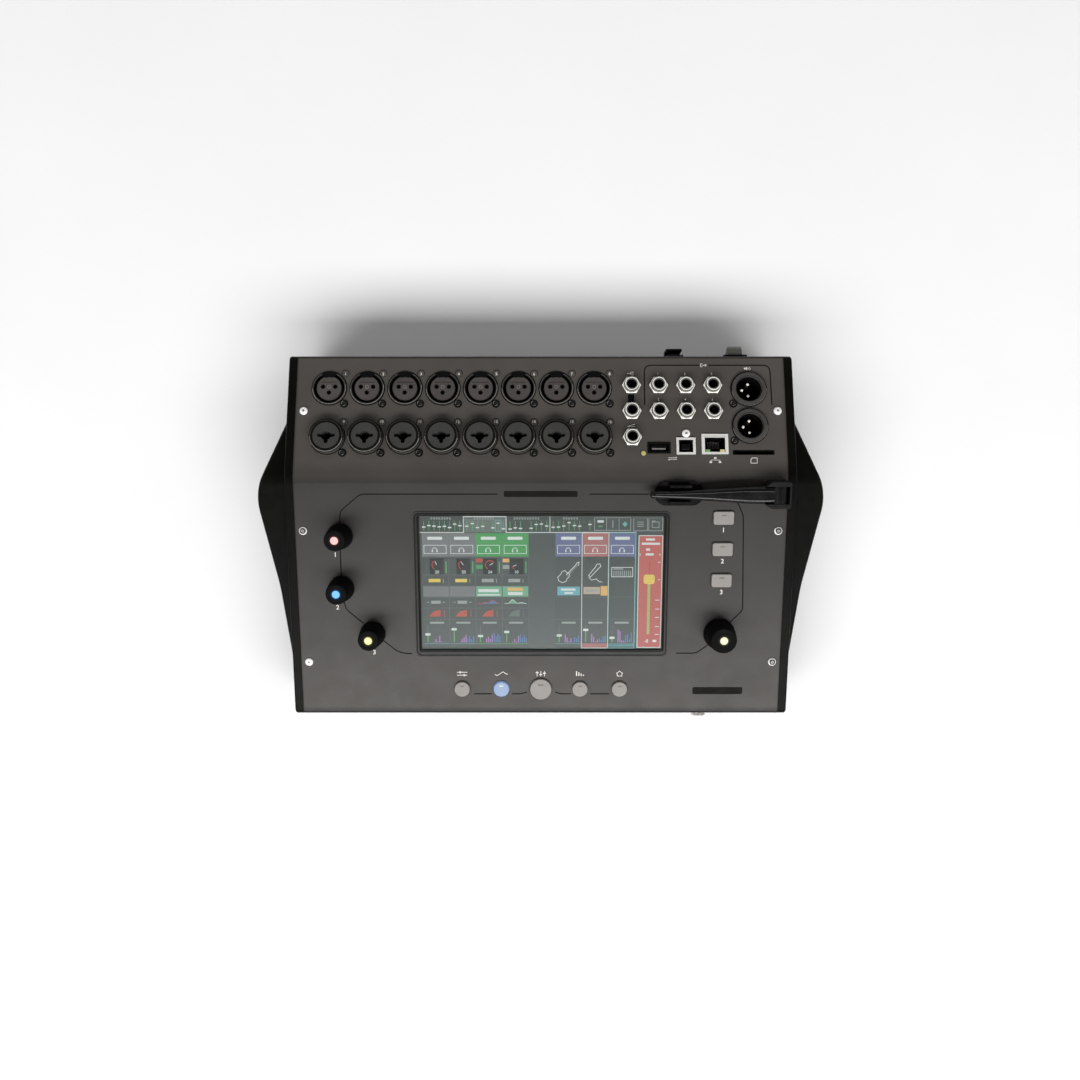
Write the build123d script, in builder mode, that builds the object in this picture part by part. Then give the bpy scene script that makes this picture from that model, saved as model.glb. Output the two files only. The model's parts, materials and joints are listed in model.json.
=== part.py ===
"""Compact digital audio mixer: a wedge-shaped table-top case with a touch screen, knobs and sockets on top.

Units are millimetres. +X runs to the user's right, +Y to the rear and +Z up. The origin is on the surface
that the feet stand on, under the middle of the whole object.
"""
from build123d import *
import math
import os

os.makedirs("parts", exist_ok=True)

# ---------------------------------------------------------------- driving dimensions: case
case_width = 315.0          # steel case, between the side cheeks
case_depth = 234.8          # front face to rear wall
jack_proud = 4.6            # threaded mouth of a jack above the face that it stands on
rocker_proud = 8.0          # furthest corner of the power rocker behind the rear wall
case_front = jack_proud - (case_depth + jack_proud + rocker_proud) / 2
case_rear = case_front + case_depth
front_datum = case_front + 0.8      # line that runs up the control slope are measured from
rear_datum = case_rear - 1.1        # line that runs up the connector slope are measured from
front_datum_z = 45.0
rear_datum_z = front_datum_z + 14.3
ridge_y = front_datum + 153.7
ridge_z = front_datum_z + 27.8
control_tilt = math.atan2(ridge_z - front_datum_z, ridge_y - front_datum)
connector_tilt = math.atan2(ridge_z - rear_datum_z, rear_datum - ridge_y)
front_edge_z = ridge_z - (ridge_y - case_front) * math.tan(control_tilt)
rear_edge_z = ridge_z - (case_rear - ridge_y) * math.tan(connector_tilt)
foot_height = 4.0
sheet = 1.5                 # steel sheet
ridge_radius = 20.0
edge_radius = 2.5
side_gap = 0.2              # tray's side walls under the folded panel

cheek_thickness = 5.5
cheek_edge = 1.4            # rounding of the cheek's outer edge
cheek_rim = 1.0             # cheeks stand this far above the panel
cheek_fold = 4.0            # radius of the cheek's front and rear corners
wing_drop = 5.0             # grip wing's top below the cheek's top
wing_thickness = 15.0
wing_rim = 2.6
cheek_outer = case_width / 2 + cheek_thickness

# ---------------------------------------------------------------- driving dimensions: sockets
socket_pitch = 24.4
socket_columns = 8
first_socket_x = -136.3
mic_row = 21.0              # up the connector slope from its rear datum
combo_row = 53.6
ring_radius = 11.0
barrel_radius = 10.3
groove_radius = 9.65
insert_radius = 7.95
insert_foot_radius = 7.0    # seat of the insert in the shell's floor
insert_foot = 4.0
mic_proud = 1.0
combo_proud = jack_proud
groove_depth = 16.0
board_drop = 31.0           # connector board's top below the connector slope
board_thickness = 1.6
contact_radius = 1.3
contact_offset = 3.95
contact_rise = 0.8          # pair of contacts above the middle of the insert
contact_depth = 13.0
combo_contact_radius = 1.1
combo_contact_offset = 4.5
plug_radius = 3.2           # quarter-inch jack mouth
plug_clear_radius = 3.5     # wider bore under the mouth
plug_depth = 27.0
hole_gap = 0.2              # between a socket's barrel and its hole in the panel

socket_screw_offset = (9.9, 10.3)       # from its socket's middle, along x and up the slope
main_out_screw_offset = (-10.3, 9.8)
socket_screw_head = 1.9
socket_screw_height = 1.0
socket_screw_shank = 1.0

main_out_x = 134.2
main_out_rows = [21.5, 46.1]
main_ring_radius = 11.35
main_cavity_radius = 8.25
main_cavity_depth = 15.0
main_proud = 1.4
pin_radius = 1.2
pin_length = 11.5

jack_columns = [58.5, 76.0, 93.4, 110.8]
jack_rows = [19.2, 36.4]
foot_jack_row = 53.8
bushing_radius = 4.7
jack_nut_flats = 11.7
jack_nut_height = 2.2
jack_body_side = 12.4

usb_a_spot = (75.5, 60.6)
usb_a_size = (13.1, 5.7)
usb_b_spot = (92.7, 59.5)
usb_b_size = (12.0, 10.8)
network_spot = (111.2, 58.2)
network_size = (17.0, 13.2)
card_spot = (135.8, 63.6)
card_slot = (25.0, 2.4)
status_led_spot = (65.6, 64.2)
led_radius = 1.15
led_proud = 0.6

# ---------------------------------------------------------------- driving dimensions: controls
screen_x = 0.6
screen_run = 86.5           # up the control slope from its front datum
bezel_size = (165.2, 96.4)
bezel_proud = 0.6
window_size = (157.0, 88.7)
window_shift = 0.8
glass_sink = 0.9            # glass below the panel's face
glass_thickness = 1.1
display_gap = 0.35          # air between the glass and the display
display_thickness = 5.5

small_knob_spots = [(-128.6, 118.9), (-128.9, 84.5), (-109.6, 54.2)]
main_knob_spot = (116.6, 54.2)
knob_height = 17.7
knob_gap = 0.6              # knob's lower edge above the panel
small_knob_radii = (8.3, 6.6)
main_knob_radii = (10.25, 8.2)
shaft_radius = 2.95
shaft_clearance = 0.07
encoder_bushing_radius = 3.6

control_drop = 12.0         # control board's top below the control slope
button_travel = 1.0
key_spots = [(116.9, 130.7), (116.9, 110.3), (116.9, 89.8)]
key_size = (13.0, 8.6)
button_run = 16.3
button_columns = [-51.8, -25.9, 0.1, 26.0, 52.1]
button_radii = [5.1, 5.1, 7.1, 5.1, 5.1]
button_proud = 1.8
button_gap = 0.3
flange_margin = 1.0
flange_thickness = 1.0
stem_radius = 1.5

# ---------------------------------------------------------------- driving dimensions: antenna
antenna_run = 146.4
antenna_lift = 7.0          # hinge pin above the control slope
antenna_pivot_x = 150.0
antenna_tip_x = 69.0
antenna_root_width = 10.6
knuckle_radius = 5.0
antenna_pin_radius = 1.5

# ---------------------------------------------------------------- driving dimensions: rear wall
rocker_spot = (127.5, 45.0)
rocker_radius = 9.2
rocker_tilt = 13.0
rocker_width = 9.0
rocker_gap = 0.3
switch_bezel = (15.2, 21.4, 1.5)
switch_body = (13.0, 19.8, 10.8)
inlet_spot = (104.5, 47.0)
inlet_barrel_radius = 5.0
hook_spot = (88.1, 46.0)
headphone_spot = (108.0, 25.0)

# ---------------------------------------------------------------- frames on the case's faces
control_slope = Plane(
    origin=(0, front_datum, front_datum_z),
    x_dir=(1, 0, 0),
    z_dir=(0, -math.sin(control_tilt), math.cos(control_tilt)),
)
connector_slope = Plane(
    origin=(0, rear_datum, rear_datum_z),
    x_dir=(1, 0, 0),
    z_dir=(0, math.sin(connector_tilt), math.cos(connector_tilt)),
)


def on_controls(x, run, lift=0.0):
    """Plane on the control slope: run is measured up from its front datum, lift out from its face."""
    origin = control_slope.from_local_coords((x, run, lift))
    return Plane(origin=origin, x_dir=control_slope.x_dir, z_dir=control_slope.z_dir)


def on_sockets(x, run, lift=0.0):
    """Plane on the connector slope: run is measured up from its rear datum, lift out from its face."""
    origin = connector_slope.from_local_coords((x, -run, lift))
    return Plane(origin=origin, x_dir=connector_slope.x_dir, z_dir=connector_slope.z_dir)


def on_rear(x, z, lift=0.0):
    """Plane on the rear wall, facing the rear, with its own x running to the user's left."""
    return Plane(origin=(x, case_rear + lift, z), x_dir=(-1, 0, 0), z_dir=(0, 1, 0))


def on_front(x, z, lift=0.0):
    """Plane on the front face, facing the user."""
    return Plane(origin=(x, case_front - lift, z), x_dir=(1, 0, 0), z_dir=(0, -1, 0))


def side_outline(bottom, rise=0.0):
    """Corners of the case seen from the side, front foot to rear foot."""
    return [
        (case_front, bottom),
        (case_front, front_edge_z + rise),
        (ridge_y, ridge_z + rise),
        (case_rear, rear_edge_z + rise),
        (case_rear, bottom),
    ]


mic_spots = [(first_socket_x + i * socket_pitch, mic_row) for i in range(socket_columns)]
combo_spots = [(first_socket_x + i * socket_pitch, combo_row) for i in range(socket_columns)]
main_out_spots = [(main_out_x, run) for run in main_out_rows]
jack_spots = [(x, run) for x in jack_columns for run in jack_rows] + [(jack_columns[0], foot_jack_row)]
button_spots = [(x, button_run) for x in button_columns]
knob_spots = small_knob_spots + [main_knob_spot]

screw_x = 152.2
socket_panel_screws = [(-screw_x, 36.1), (screw_x, 36.1), (93.0, 51.1)]
control_panel_screws = [(x, run) for x in (-screw_x, screw_x) for run in (34.9, 122.3)]
panel_screw_hole = 1.7
socket_screw_hole = 1.2
socket_screw_spots = [
    (x + socket_screw_offset[0], run + socket_screw_offset[1]) for x, run in mic_spots + combo_spots
]
socket_screw_spots += [
    (x + main_out_screw_offset[0], run + main_out_screw_offset[1]) for x, run in main_out_spots
]

# ================================================================ case
# Folded steel cover: front face, control slope, connector slope and rear wall in one sheet.
with BuildPart() as top_panel:
    with BuildSketch(Plane.YZ.offset(-case_width / 2)) as cover_section:
        with BuildLine():
            Polyline(side_outline(foot_height), close=True)
        make_face()
        fillet(cover_section.vertices().sort_by(Axis.Y)[-1], ridge_radius)
        fold_corners = cover_section.vertices().filter_by(
            lambda v: foot_height + 1 < v.Y < rear_edge_z + 0.1
        )
        fillet(fold_corners, edge_radius)
        offset(amount=-sheet, mode=Mode.SUBTRACT)
        with Locations(((case_front + case_rear) / 2, foot_height + sheet / 2)):
            Rectangle(case_depth - 2 * sheet, sheet, mode=Mode.SUBTRACT)
    extrude(amount=case_width)

    # cut-outs in the connector slope, each made from just above the sheet to just below it
    cut_from = 1.0
    cut_depth = sheet + 2 * cut_from
    socket_cuts = [(x, run, barrel_radius + hole_gap) for x, run in mic_spots + combo_spots]
    socket_cuts += [(x, run, barrel_radius + hole_gap) for x, run in main_out_spots]
    socket_cuts += [(x, run, bushing_radius + hole_gap) for x, run in jack_spots]
    socket_cuts += [(x, run, panel_screw_hole) for x, run in socket_panel_screws]
    socket_cuts += [(x, run, socket_screw_hole) for x, run in socket_screw_spots]
    socket_cuts += [(*status_led_spot, led_radius + hole_gap)]
    for x, run, radius in socket_cuts:
        with BuildSketch(on_sockets(x, run, cut_from)):
            Circle(radius)
        extrude(amount=-cut_depth, mode=Mode.SUBTRACT)
    port_cuts = [(usb_a_spot, usb_a_size), (usb_b_spot, usb_b_size), (network_spot, network_size)]
    port_cuts += [(card_spot, card_slot)]
    for (x, run), (wide, high) in port_cuts:
        with BuildSketch(on_sockets(x, run, cut_from)):
            Rectangle(wide + 2 * hole_gap, high + 2 * hole_gap)
        extrude(amount=-cut_depth, mode=Mode.SUBTRACT)

    # cut-outs in the control slope
    with BuildSketch(on_controls(screen_x, screen_run, cut_from)):
        RectangleRounded(bezel_size[0] - 4, bezel_size[1] - 4, 2)
    extrude(amount=-cut_depth, mode=Mode.SUBTRACT)
    control_cuts = [(x, run, encoder_bushing_radius + hole_gap) for x, run in knob_spots]
    control_cuts += [(x, run, panel_screw_hole) for x, run in control_panel_screws]
    control_cuts += [(x, button_run, r + button_gap) for x, r in zip(button_columns, button_radii)]
    for x, run, radius in control_cuts:
        with BuildSketch(on_controls(x, run, cut_from)):
            Circle(radius)
        extrude(amount=-cut_depth, mode=Mode.SUBTRACT)
    for x, run in key_spots:
        with BuildSketch(on_controls(x, run, cut_from)):
            RectangleRounded(key_size[0] + 2 * button_gap, key_size[1] + 2 * button_gap, 1.6)
        extrude(amount=-cut_depth, mode=Mode.SUBTRACT)

    # cut-outs in the front face and the rear wall
    with BuildSketch(on_front(*headphone_spot, cut_from)):
        Circle(bushing_radius + hole_gap)
    extrude(amount=-cut_depth, mode=Mode.SUBTRACT)
    with BuildSketch(on_rear(*rocker_spot, cut_from)):
        Rectangle(switch_body[0] + 2 * hole_gap, switch_body[1] + 2 * hole_gap)
    extrude(amount=-cut_depth, mode=Mode.SUBTRACT)
    with BuildSketch(on_rear(*inlet_spot, cut_from)):
        Circle(inlet_barrel_radius + hole_gap)
    extrude(amount=-cut_depth, mode=Mode.SUBTRACT)

top_panel.part.label = "top_panel"
export_step(top_panel.part, "parts/top_panel.step")

# Base tray: flat floor with an upturned wall at each side, under the folded cover.
with BuildPart() as base_tray:
    with Locations((0, (case_front + case_rear) / 2, foot_height)):
        Box(
            case_width,
            case_depth - 2 * sheet,
            sheet,
            align=(Align.CENTER, Align.CENTER, Align.MIN),
        )
    for start in (-case_width / 2, case_width / 2 - sheet):
        with BuildSketch(Plane.YZ.offset(start)) as wall_section:
            with BuildLine():
                Polyline(side_outline(foot_height - 1.0), close=True)
            make_face()
            fillet(wall_section.vertices().sort_by(Axis.Y)[-1], ridge_radius)
            offset(amount=-sheet - side_gap, mode=Mode.REPLACE)
        extrude(amount=sheet)

base_tray.part.label = "base_tray"
export_step(base_tray.part, "parts/base_tray.step")

# Grip wing: a band that follows the two slopes, cut to the wing's outline seen from above.
wing_root = cheek_outer - 1.0
wing_rear_y = ridge_y + 41.3
wing_tip = (cheek_outer + 20.9, ridge_y - 9.8)
wing_tip_radius = 37.0
wing_waist = (cheek_outer + 7.8, ridge_y - 69.2)
wing_waist_radius = 120.0
wing_front_y = ridge_y - 130.0
wing_reach = 30.0
wing_top = [
    (case_front, front_edge_z - wing_drop),
    (ridge_y, ridge_z - wing_drop),
    (case_rear, rear_edge_z - wing_drop),
]
wing_bottom = [(y, z - wing_thickness) for y, z in reversed(wing_top)]
with BuildPart() as grip_wing:
    with BuildSketch(Plane.YZ.offset(wing_root)) as wing_band:
        with BuildLine():
            Polyline(wing_top + wing_bottom, close=True)
        make_face()
        ridge_corners = wing_band.vertices().filter_by(lambda v: abs(v.X - ridge_y) < 1)
        fillet(ridge_corners, ridge_radius)
    extrude(amount=wing_reach)
    with BuildSketch(Plane.XY) as wing_plan:
        with BuildLine():
            Polyline(
                (wing_root, wing_rear_y),
                (cheek_outer, wing_rear_y),
                wing_tip,
                wing_waist,
                (cheek_outer, wing_front_y),
                (wing_root, wing_front_y),
                close=True,
            )
        make_face()
        fillet(wing_plan.vertices().sort_by_distance((*wing_tip, 0))[0], wing_tip_radius)
        fillet(wing_plan.vertices().sort_by_distance((*wing_waist, 0))[0], wing_waist_radius)
    extrude(amount=ridge_z, mode=Mode.INTERSECT)
    rim_edges = grip_wing.edges().filter_by(lambda e: e.center().X > cheek_outer + 1.5)
    fillet(rim_edges.filter_by(lambda e: abs(e.tangent_at(0.5).Y) > 0.3), wing_rim)

# Moulded cheek: a plate over the case's side, with the grip wing standing out of it.
with BuildPart() as cheek:
    with BuildSketch(Plane.YZ.offset(case_width / 2)) as plate_section:
        with BuildLine():
            Polyline(side_outline(foot_height, cheek_rim), close=True)
        make_face()
        fillet(plate_section.vertices().sort_by(Axis.Y)[-1], ridge_radius + cheek_rim)
        fillet(plate_section.vertices().filter_by(lambda v: v.Y < rear_edge_z + 2), cheek_fold)
    extrude(amount=cheek_thickness)
    fillet(cheek.faces().sort_by(Axis.X)[-1].edges(), cheek_edge)
    add(grip_wing.part)

with BuildPart() as left_cheek:
    mirror(cheek.part, about=Plane.YZ)

left_cheek.part.label = "left_cheek"
export_step(left_cheek.part, "parts/left_cheek.step")

lock_spot = (rear_datum - 26.8, rear_datum_z - 6.0)
lock_boss = (13.0, 8.0, 1.0)
lock_slot = (7.0, 3.0, 4.0)
with BuildPart() as right_cheek:
    add(cheek.part)
    with BuildSketch(Plane.YZ.offset(cheek_outer)):
        with Locations(lock_spot):
            RectangleRounded(lock_boss[0], lock_boss[1], 2)
    extrude(amount=lock_boss[2])
    with BuildSketch(Plane.YZ.offset(cheek_outer + lock_boss[2])):
        with Locations(lock_spot):
            SlotOverall(lock_slot[0], lock_slot[1])
    extrude(amount=-lock_slot[2], mode=Mode.SUBTRACT)

right_cheek.part.label = "right_cheek"
export_step(right_cheek.part, "parts/right_cheek.step")

# ================================================================ screen
window_plane = on_controls(screen_x, screen_run + window_shift)
glass_plane = window_plane.offset(-glass_sink)
bezel_depth = 3.5
bezel_flange = 2.2          # bezel's edge beyond its cut-out
window_flare = (3.0, 2.2)
glass_margin = 0.5
with BuildPart() as screen_bezel:
    with BuildSketch(on_controls(screen_x, screen_run, 0.0)):
        RectangleRounded(*bezel_size, 3.5)
    extrude(amount=bezel_proud)
    with BuildSketch(on_controls(screen_x, screen_run, 0.0)):
        RectangleRounded(bezel_size[0] - 2 * bezel_flange, bezel_size[1] - 2 * bezel_flange, 1.8)
    extrude(amount=-bezel_depth)
    # the frame's inner edge slopes down to the glass
    with BuildSketch(window_plane.offset(bezel_proud)):
        RectangleRounded(window_size[0] + window_flare[0], window_size[1] + window_flare[1], 1.5)
    with BuildSketch(glass_plane):
        RectangleRounded(*window_size, 0.8)
    loft(mode=Mode.SUBTRACT)
    with BuildSketch(glass_plane):
        RectangleRounded(window_size[0] + 2 * glass_margin, window_size[1] + 2 * glass_margin, 0.8)
    extrude(amount=-bezel_depth, mode=Mode.SUBTRACT)

screen_bezel.part.label = "screen_bezel"
export_step(screen_bezel.part, "parts/screen_bezel.step")

fitted_size = (window_size[0] + 2 * glass_margin - 0.2, window_size[1] + 2 * glass_margin - 0.2)
with BuildPart() as touch_glass:
    with BuildSketch(glass_plane):
        RectangleRounded(*fitted_size, 0.7)
    extrude(amount=-glass_thickness)

touch_glass.part.label = "touch_glass"
export_step(touch_glass.part, "parts/touch_glass.step")

with BuildPart() as display_panel:
    with BuildSketch(glass_plane.offset(-glass_thickness - display_gap)):
        RectangleRounded(*fitted_size, 0.8)
    extrude(amount=-display_thickness)

display_panel.part.label = "display_panel"
export_step(display_panel.part, "parts/display_panel.step")

# ================================================================ microphone sockets
socket_floor = -board_drop
with BuildPart() as mic_socket_shells:
    for x, run in mic_spots:
        with BuildSketch(on_sockets(x, run)):
            Circle(ring_radius)
        extrude(amount=mic_proud)
        with BuildSketch(on_sockets(x, run)):
            Circle(barrel_radius)
        extrude(amount=socket_floor)
        with BuildSketch(on_sockets(x, run, mic_proud)):
            Circle(groove_radius)
        extrude(amount=-groove_depth, mode=Mode.SUBTRACT)
        with BuildSketch(on_sockets(x, run, mic_proud - groove_depth)):
            Circle(insert_foot_radius)
        extrude(amount=-insert_foot, mode=Mode.SUBTRACT)

mic_socket_shells.part.label = "mic_socket_shells"
export_step(mic_socket_shells.part, "parts/mic_socket_shells.step")

with BuildPart() as mic_socket_inserts:
    for x, run in mic_spots:
        with BuildSketch(on_sockets(x, run, mic_proud - groove_depth - insert_foot)):
            Circle(insert_foot_radius)
        extrude(amount=insert_foot)
        with BuildSketch(on_sockets(x, run, mic_proud - groove_depth)):
            Circle(insert_radius)
        extrude(amount=groove_depth)
        with BuildSketch(on_sockets(x, run, mic_proud)):
            with Locations((-contact_offset, contact_rise), (contact_offset, contact_rise), (0, -3.1)):
                Circle(contact_radius)
        extrude(amount=-contact_depth, mode=Mode.SUBTRACT)

mic_socket_inserts.part.label = "mic_socket_inserts"
export_step(mic_socket_inserts.part, "parts/mic_socket_inserts.step")

# ================================================================ combination sockets
mouth_floor = 0.2           # the jack mouth's own wall starts this far above the panel's face
combo_insert_foot = 14.0
with BuildPart() as combo_socket_shells:
    for x, run in combo_spots:
        with BuildSketch(on_sockets(x, run)):
            Circle(ring_radius)
        extrude(amount=combo_proud)
        with BuildSketch(on_sockets(x, run)):
            Circle(barrel_radius)
        extrude(amount=socket_floor)
        with BuildSketch(on_sockets(x, run, combo_proud)):
            Circle(groove_radius)
        extrude(amount=-groove_depth, mode=Mode.SUBTRACT)
        with BuildSketch(on_sockets(x, run, combo_proud - groove_depth)):
            Circle(insert_radius)
        extrude(amount=-combo_insert_foot, mode=Mode.SUBTRACT)

combo_socket_shells.part.label = "combo_socket_shells"
export_step(combo_socket_shells.part, "parts/combo_socket_shells.step")

with BuildPart() as combo_socket_inserts:
    for x, run in combo_spots:
        with BuildSketch(on_sockets(x, run, combo_proud - groove_depth - combo_insert_foot)):
            Circle(insert_radius)
        extrude(amount=groove_depth + combo_insert_foot)
        with BuildSketch(on_sockets(x, run, combo_proud)):
            Circle(plug_radius)
        extrude(amount=mouth_floor - combo_proud, mode=Mode.SUBTRACT)
        with BuildSketch(on_sockets(x, run, mouth_floor)):
            Circle(plug_clear_radius)
        extrude(amount=-(plug_depth - combo_proud), mode=Mode.SUBTRACT)
        with BuildSketch(on_sockets(x, run, combo_proud)):
            with Locations(
                (-combo_contact_offset, contact_rise),
                (combo_contact_offset, contact_rise),
                (0, -combo_contact_offset),
            ):
                Circle(combo_contact_radius)
        extrude(amount=-contact_depth, mode=Mode.SUBTRACT)

combo_socket_inserts.part.label = "combo_socket_inserts"
export_step(combo_socket_inserts.part, "parts/combo_socket_inserts.step")

# ================================================================ main outputs
with BuildPart() as main_output_shells:
    for x, run in main_out_spots:
        with BuildSketch(on_sockets(x, run)):
            Circle(main_ring_radius)
        extrude(amount=main_proud)
        with BuildSketch(on_sockets(x, run)):
            Circle(barrel_radius)
        extrude(amount=socket_floor)
        with BuildSketch(on_sockets(x, run, main_proud)):
            Circle(main_cavity_radius)
        extrude(amount=-main_cavity_depth, mode=Mode.SUBTRACT)

main_output_shells.part.label = "main_output_shells"
export_step(main_output_shells.part, "parts/main_output_shells.step")

pin_tip = 0.7
with BuildPart() as main_output_pins:
    for x, run in main_out_spots:
        contact_spots = [(0, contact_offset), (0, -contact_offset), (-contact_offset, 0)]
        with BuildSketch(on_sockets(x, run, main_proud - main_cavity_depth)):
            with Locations(contact_spots):
                Circle(pin_radius)
        extrude(amount=pin_length - pin_tip)
        with BuildSketch(on_sockets(x, run, main_proud - main_cavity_depth + pin_length - pin_tip)):
            with Locations(contact_spots):
                Circle(pin_radius)
        extrude(amount=pin_tip, taper=35)

main_output_pins.part.label = "main_output_pins"
export_step(main_output_pins.part, "parts/main_output_pins.step")

# ================================================================ quarter-inch jacks
with BuildPart() as jack_bodies:
    for x, run in jack_spots:
        with BuildSketch(on_sockets(x, run, -sheet)):
            Rectangle(jack_body_side, jack_body_side)
        extrude(amount=socket_floor + sheet)
        with BuildSketch(on_sockets(x, run, -sheet)):
            Circle(bushing_radius)
        extrude(amount=sheet + jack_proud)
        with BuildSketch(on_sockets(x, run, jack_proud)):
            Circle(plug_radius)
        extrude(amount=mouth_floor - jack_proud, mode=Mode.SUBTRACT)
        with BuildSketch(on_sockets(x, run, mouth_floor)):
            Circle(plug_clear_radius)
        extrude(amount=-(plug_depth - jack_proud), mode=Mode.SUBTRACT)

jack_bodies.part.label = "jack_bodies"
export_step(jack_bodies.part, "parts/jack_bodies.step")

nut_corner = jack_nut_flats / 2 / math.cos(math.pi / 6)
with BuildPart() as jack_nuts:
    for x, run in jack_spots:
        with BuildSketch(on_sockets(x, run)):
            RegularPolygon(nut_corner, 6)
        extrude(amount=jack_nut_height)
        with BuildSketch(on_sockets(x, run, jack_nut_height)):
            Circle(bushing_radius + 0.05)
        extrude(amount=-jack_nut_height, mode=Mode.SUBTRACT)
    with BuildSketch(on_front(*headphone_spot)):
        RegularPolygon(nut_corner, 6)
        Circle(bushing_radius + 0.05, mode=Mode.SUBTRACT)
    extrude(amount=jack_nut_height)

jack_nuts.part.label = "jack_nuts"
export_step(jack_nuts.part, "parts/jack_nuts.step")

with BuildPart() as headphone_jack:
    with BuildSketch(on_front(*headphone_spot, -sheet)):
        Rectangle(jack_body_side, jack_body_side)
    extrude(amount=socket_floor + sheet)
    with BuildSketch(on_front(*headphone_spot, -sheet)):
        Circle(bushing_radius)
    extrude(amount=sheet + jack_proud)
    with BuildSketch(on_front(*headphone_spot, jack_proud)):
        Circle(plug_radius)
    extrude(amount=mouth_floor - jack_proud, mode=Mode.SUBTRACT)
    with BuildSketch(on_front(*headphone_spot, mouth_floor)):
        Circle(plug_clear_radius)
    extrude(amount=-(plug_depth - jack_proud), mode=Mode.SUBTRACT)

headphone_jack.part.label = "headphone_jack"
export_step(headphone_jack.part, "parts/headphone_jack.step")

# ================================================================ data sockets
usb_a_proud = 0.4
usb_a_wall = 0.4
usb_a_depth = 15.0
usb_a_tongue = (11.0, 1.9)
usb_a_tongue_rise = 1.1
with BuildPart() as usb_a_socket:
    with BuildSketch(on_sockets(*usb_a_spot, usb_a_proud)):
        Rectangle(*usb_a_size)
    extrude(amount=socket_floor - usb_a_proud)
    with BuildSketch(on_sockets(*usb_a_spot, usb_a_proud)):
        Rectangle(usb_a_size[0] - 2 * usb_a_wall, usb_a_size[1] - 2 * usb_a_wall)
    extrude(amount=-usb_a_depth, mode=Mode.SUBTRACT)
    with BuildSketch(on_sockets(*usb_a_spot, usb_a_proud - usb_a_depth)):
        with Locations((0, usb_a_tongue_rise)):
            Rectangle(*usb_a_tongue)
    extrude(amount=usb_a_depth - 1.2)

usb_a_socket.part.label = "usb_a_socket"
export_step(usb_a_socket.part, "parts/usb_a_socket.step")

shield_wall = 0.6
shield_lip = 0.5            # thickness of the metal face round a mouth
data_socket_proud = 0.8
usb_b_depth = 13.0
usb_b_face = (9.0, 8.3)     # opening in the metal face
usb_b_mouth = (8.5, 7.8)
usb_b_tongue = (5.6, 3.2)
with BuildPart() as usb_b_shield:
    with BuildSketch(on_sockets(*usb_b_spot, data_socket_proud)):
        Rectangle(*usb_b_size)
        Rectangle(usb_b_size[0] - 2 * shield_wall, usb_b_size[1] - 2 * shield_wall, mode=Mode.SUBTRACT)
    extrude(amount=socket_floor - data_socket_proud)
    with BuildSketch(on_sockets(*usb_b_spot, data_socket_proud)):
        Rectangle(*usb_b_size)
        Rectangle(*usb_b_face, mode=Mode.SUBTRACT)
    extrude(amount=-shield_lip)

usb_b_shield.part.label = "usb_b_shield"
export_step(usb_b_shield.part, "parts/usb_b_shield.step")

with BuildPart() as usb_b_insert:
    with BuildSketch(on_sockets(*usb_b_spot, data_socket_proud - shield_lip)):
        Rectangle(usb_b_size[0] - 2 * shield_wall, usb_b_size[1] - 2 * shield_wall)
    extrude(amount=socket_floor - data_socket_proud + shield_lip)
    with BuildSketch(on_sockets(*usb_b_spot, data_socket_proud)) as usb_b_outline:
        Rectangle(*usb_b_mouth)
        chamfer(usb_b_outline.vertices().group_by(Axis.Y)[-1], 1.8)
    extrude(amount=-usb_b_depth, mode=Mode.SUBTRACT)
    with BuildSketch(on_sockets(*usb_b_spot, data_socket_proud - usb_b_depth)):
        Rectangle(*usb_b_tongue)
    extrude(amount=usb_b_depth - 1.5)

usb_b_insert.part.label = "usb_b_insert"
export_step(usb_b_insert.part, "parts/usb_b_insert.step")

network_face = (13.0, 9.6)      # opening in the metal face
network_face_drop = 0.5
network_mouth = (11.8, 6.8)
network_mouth_rise = 0.6
network_latch = (6.0, 2.0)      # notch for the plug's latch, towards the user
network_latch_drop = 3.6
network_latch_tip = (3.6, 1.2)
network_latch_tip_drop = 4.7
network_depth = 12.5
with BuildPart() as network_shield:
    with BuildSketch(on_sockets(*network_spot, data_socket_proud)):
        Rectangle(*network_size)
        Rectangle(network_size[0] - 2 * shield_wall, network_size[1] - 2 * shield_wall, mode=Mode.SUBTRACT)
    extrude(amount=socket_floor - data_socket_proud)
    with BuildSketch(on_sockets(*network_spot, data_socket_proud)):
        Rectangle(*network_size)
        with Locations((0, -network_face_drop)):
            Rectangle(*network_face, mode=Mode.SUBTRACT)
    extrude(amount=-shield_lip)

network_shield.part.label = "network_shield"
export_step(network_shield.part, "parts/network_shield.step")

with BuildPart() as network_insert:
    with BuildSketch(on_sockets(*network_spot, data_socket_proud - shield_lip)):
        Rectangle(network_size[0] - 2 * shield_wall, network_size[1] - 2 * shield_wall)
    extrude(amount=socket_floor - data_socket_proud + shield_lip)
    with BuildSketch(on_sockets(*network_spot, data_socket_proud)):
        with Locations((0, network_mouth_rise)):
            Rectangle(*network_mouth)
        with Locations((0, -network_latch_drop)):
            Rectangle(*network_latch)
        with Locations((0, -network_latch_tip_drop)):
            Rectangle(*network_latch_tip)
    extrude(amount=-network_depth, mode=Mode.SUBTRACT)

network_insert.part.label = "network_insert"
export_step(network_insert.part, "parts/network_insert.step")

card_reader_size = (28.0, 4.0)
card_mouth = (24.4, 2.2)
card_depth = 20.0
with BuildPart() as card_reader:
    with BuildSketch(on_sockets(*card_spot, -sheet)):
        Rectangle(*card_reader_size)
    extrude(amount=socket_floor + sheet)
    with BuildSketch(on_sockets(*card_spot, -sheet)):
        Rectangle(*card_mouth)
    extrude(amount=-card_depth, mode=Mode.SUBTRACT)

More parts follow.
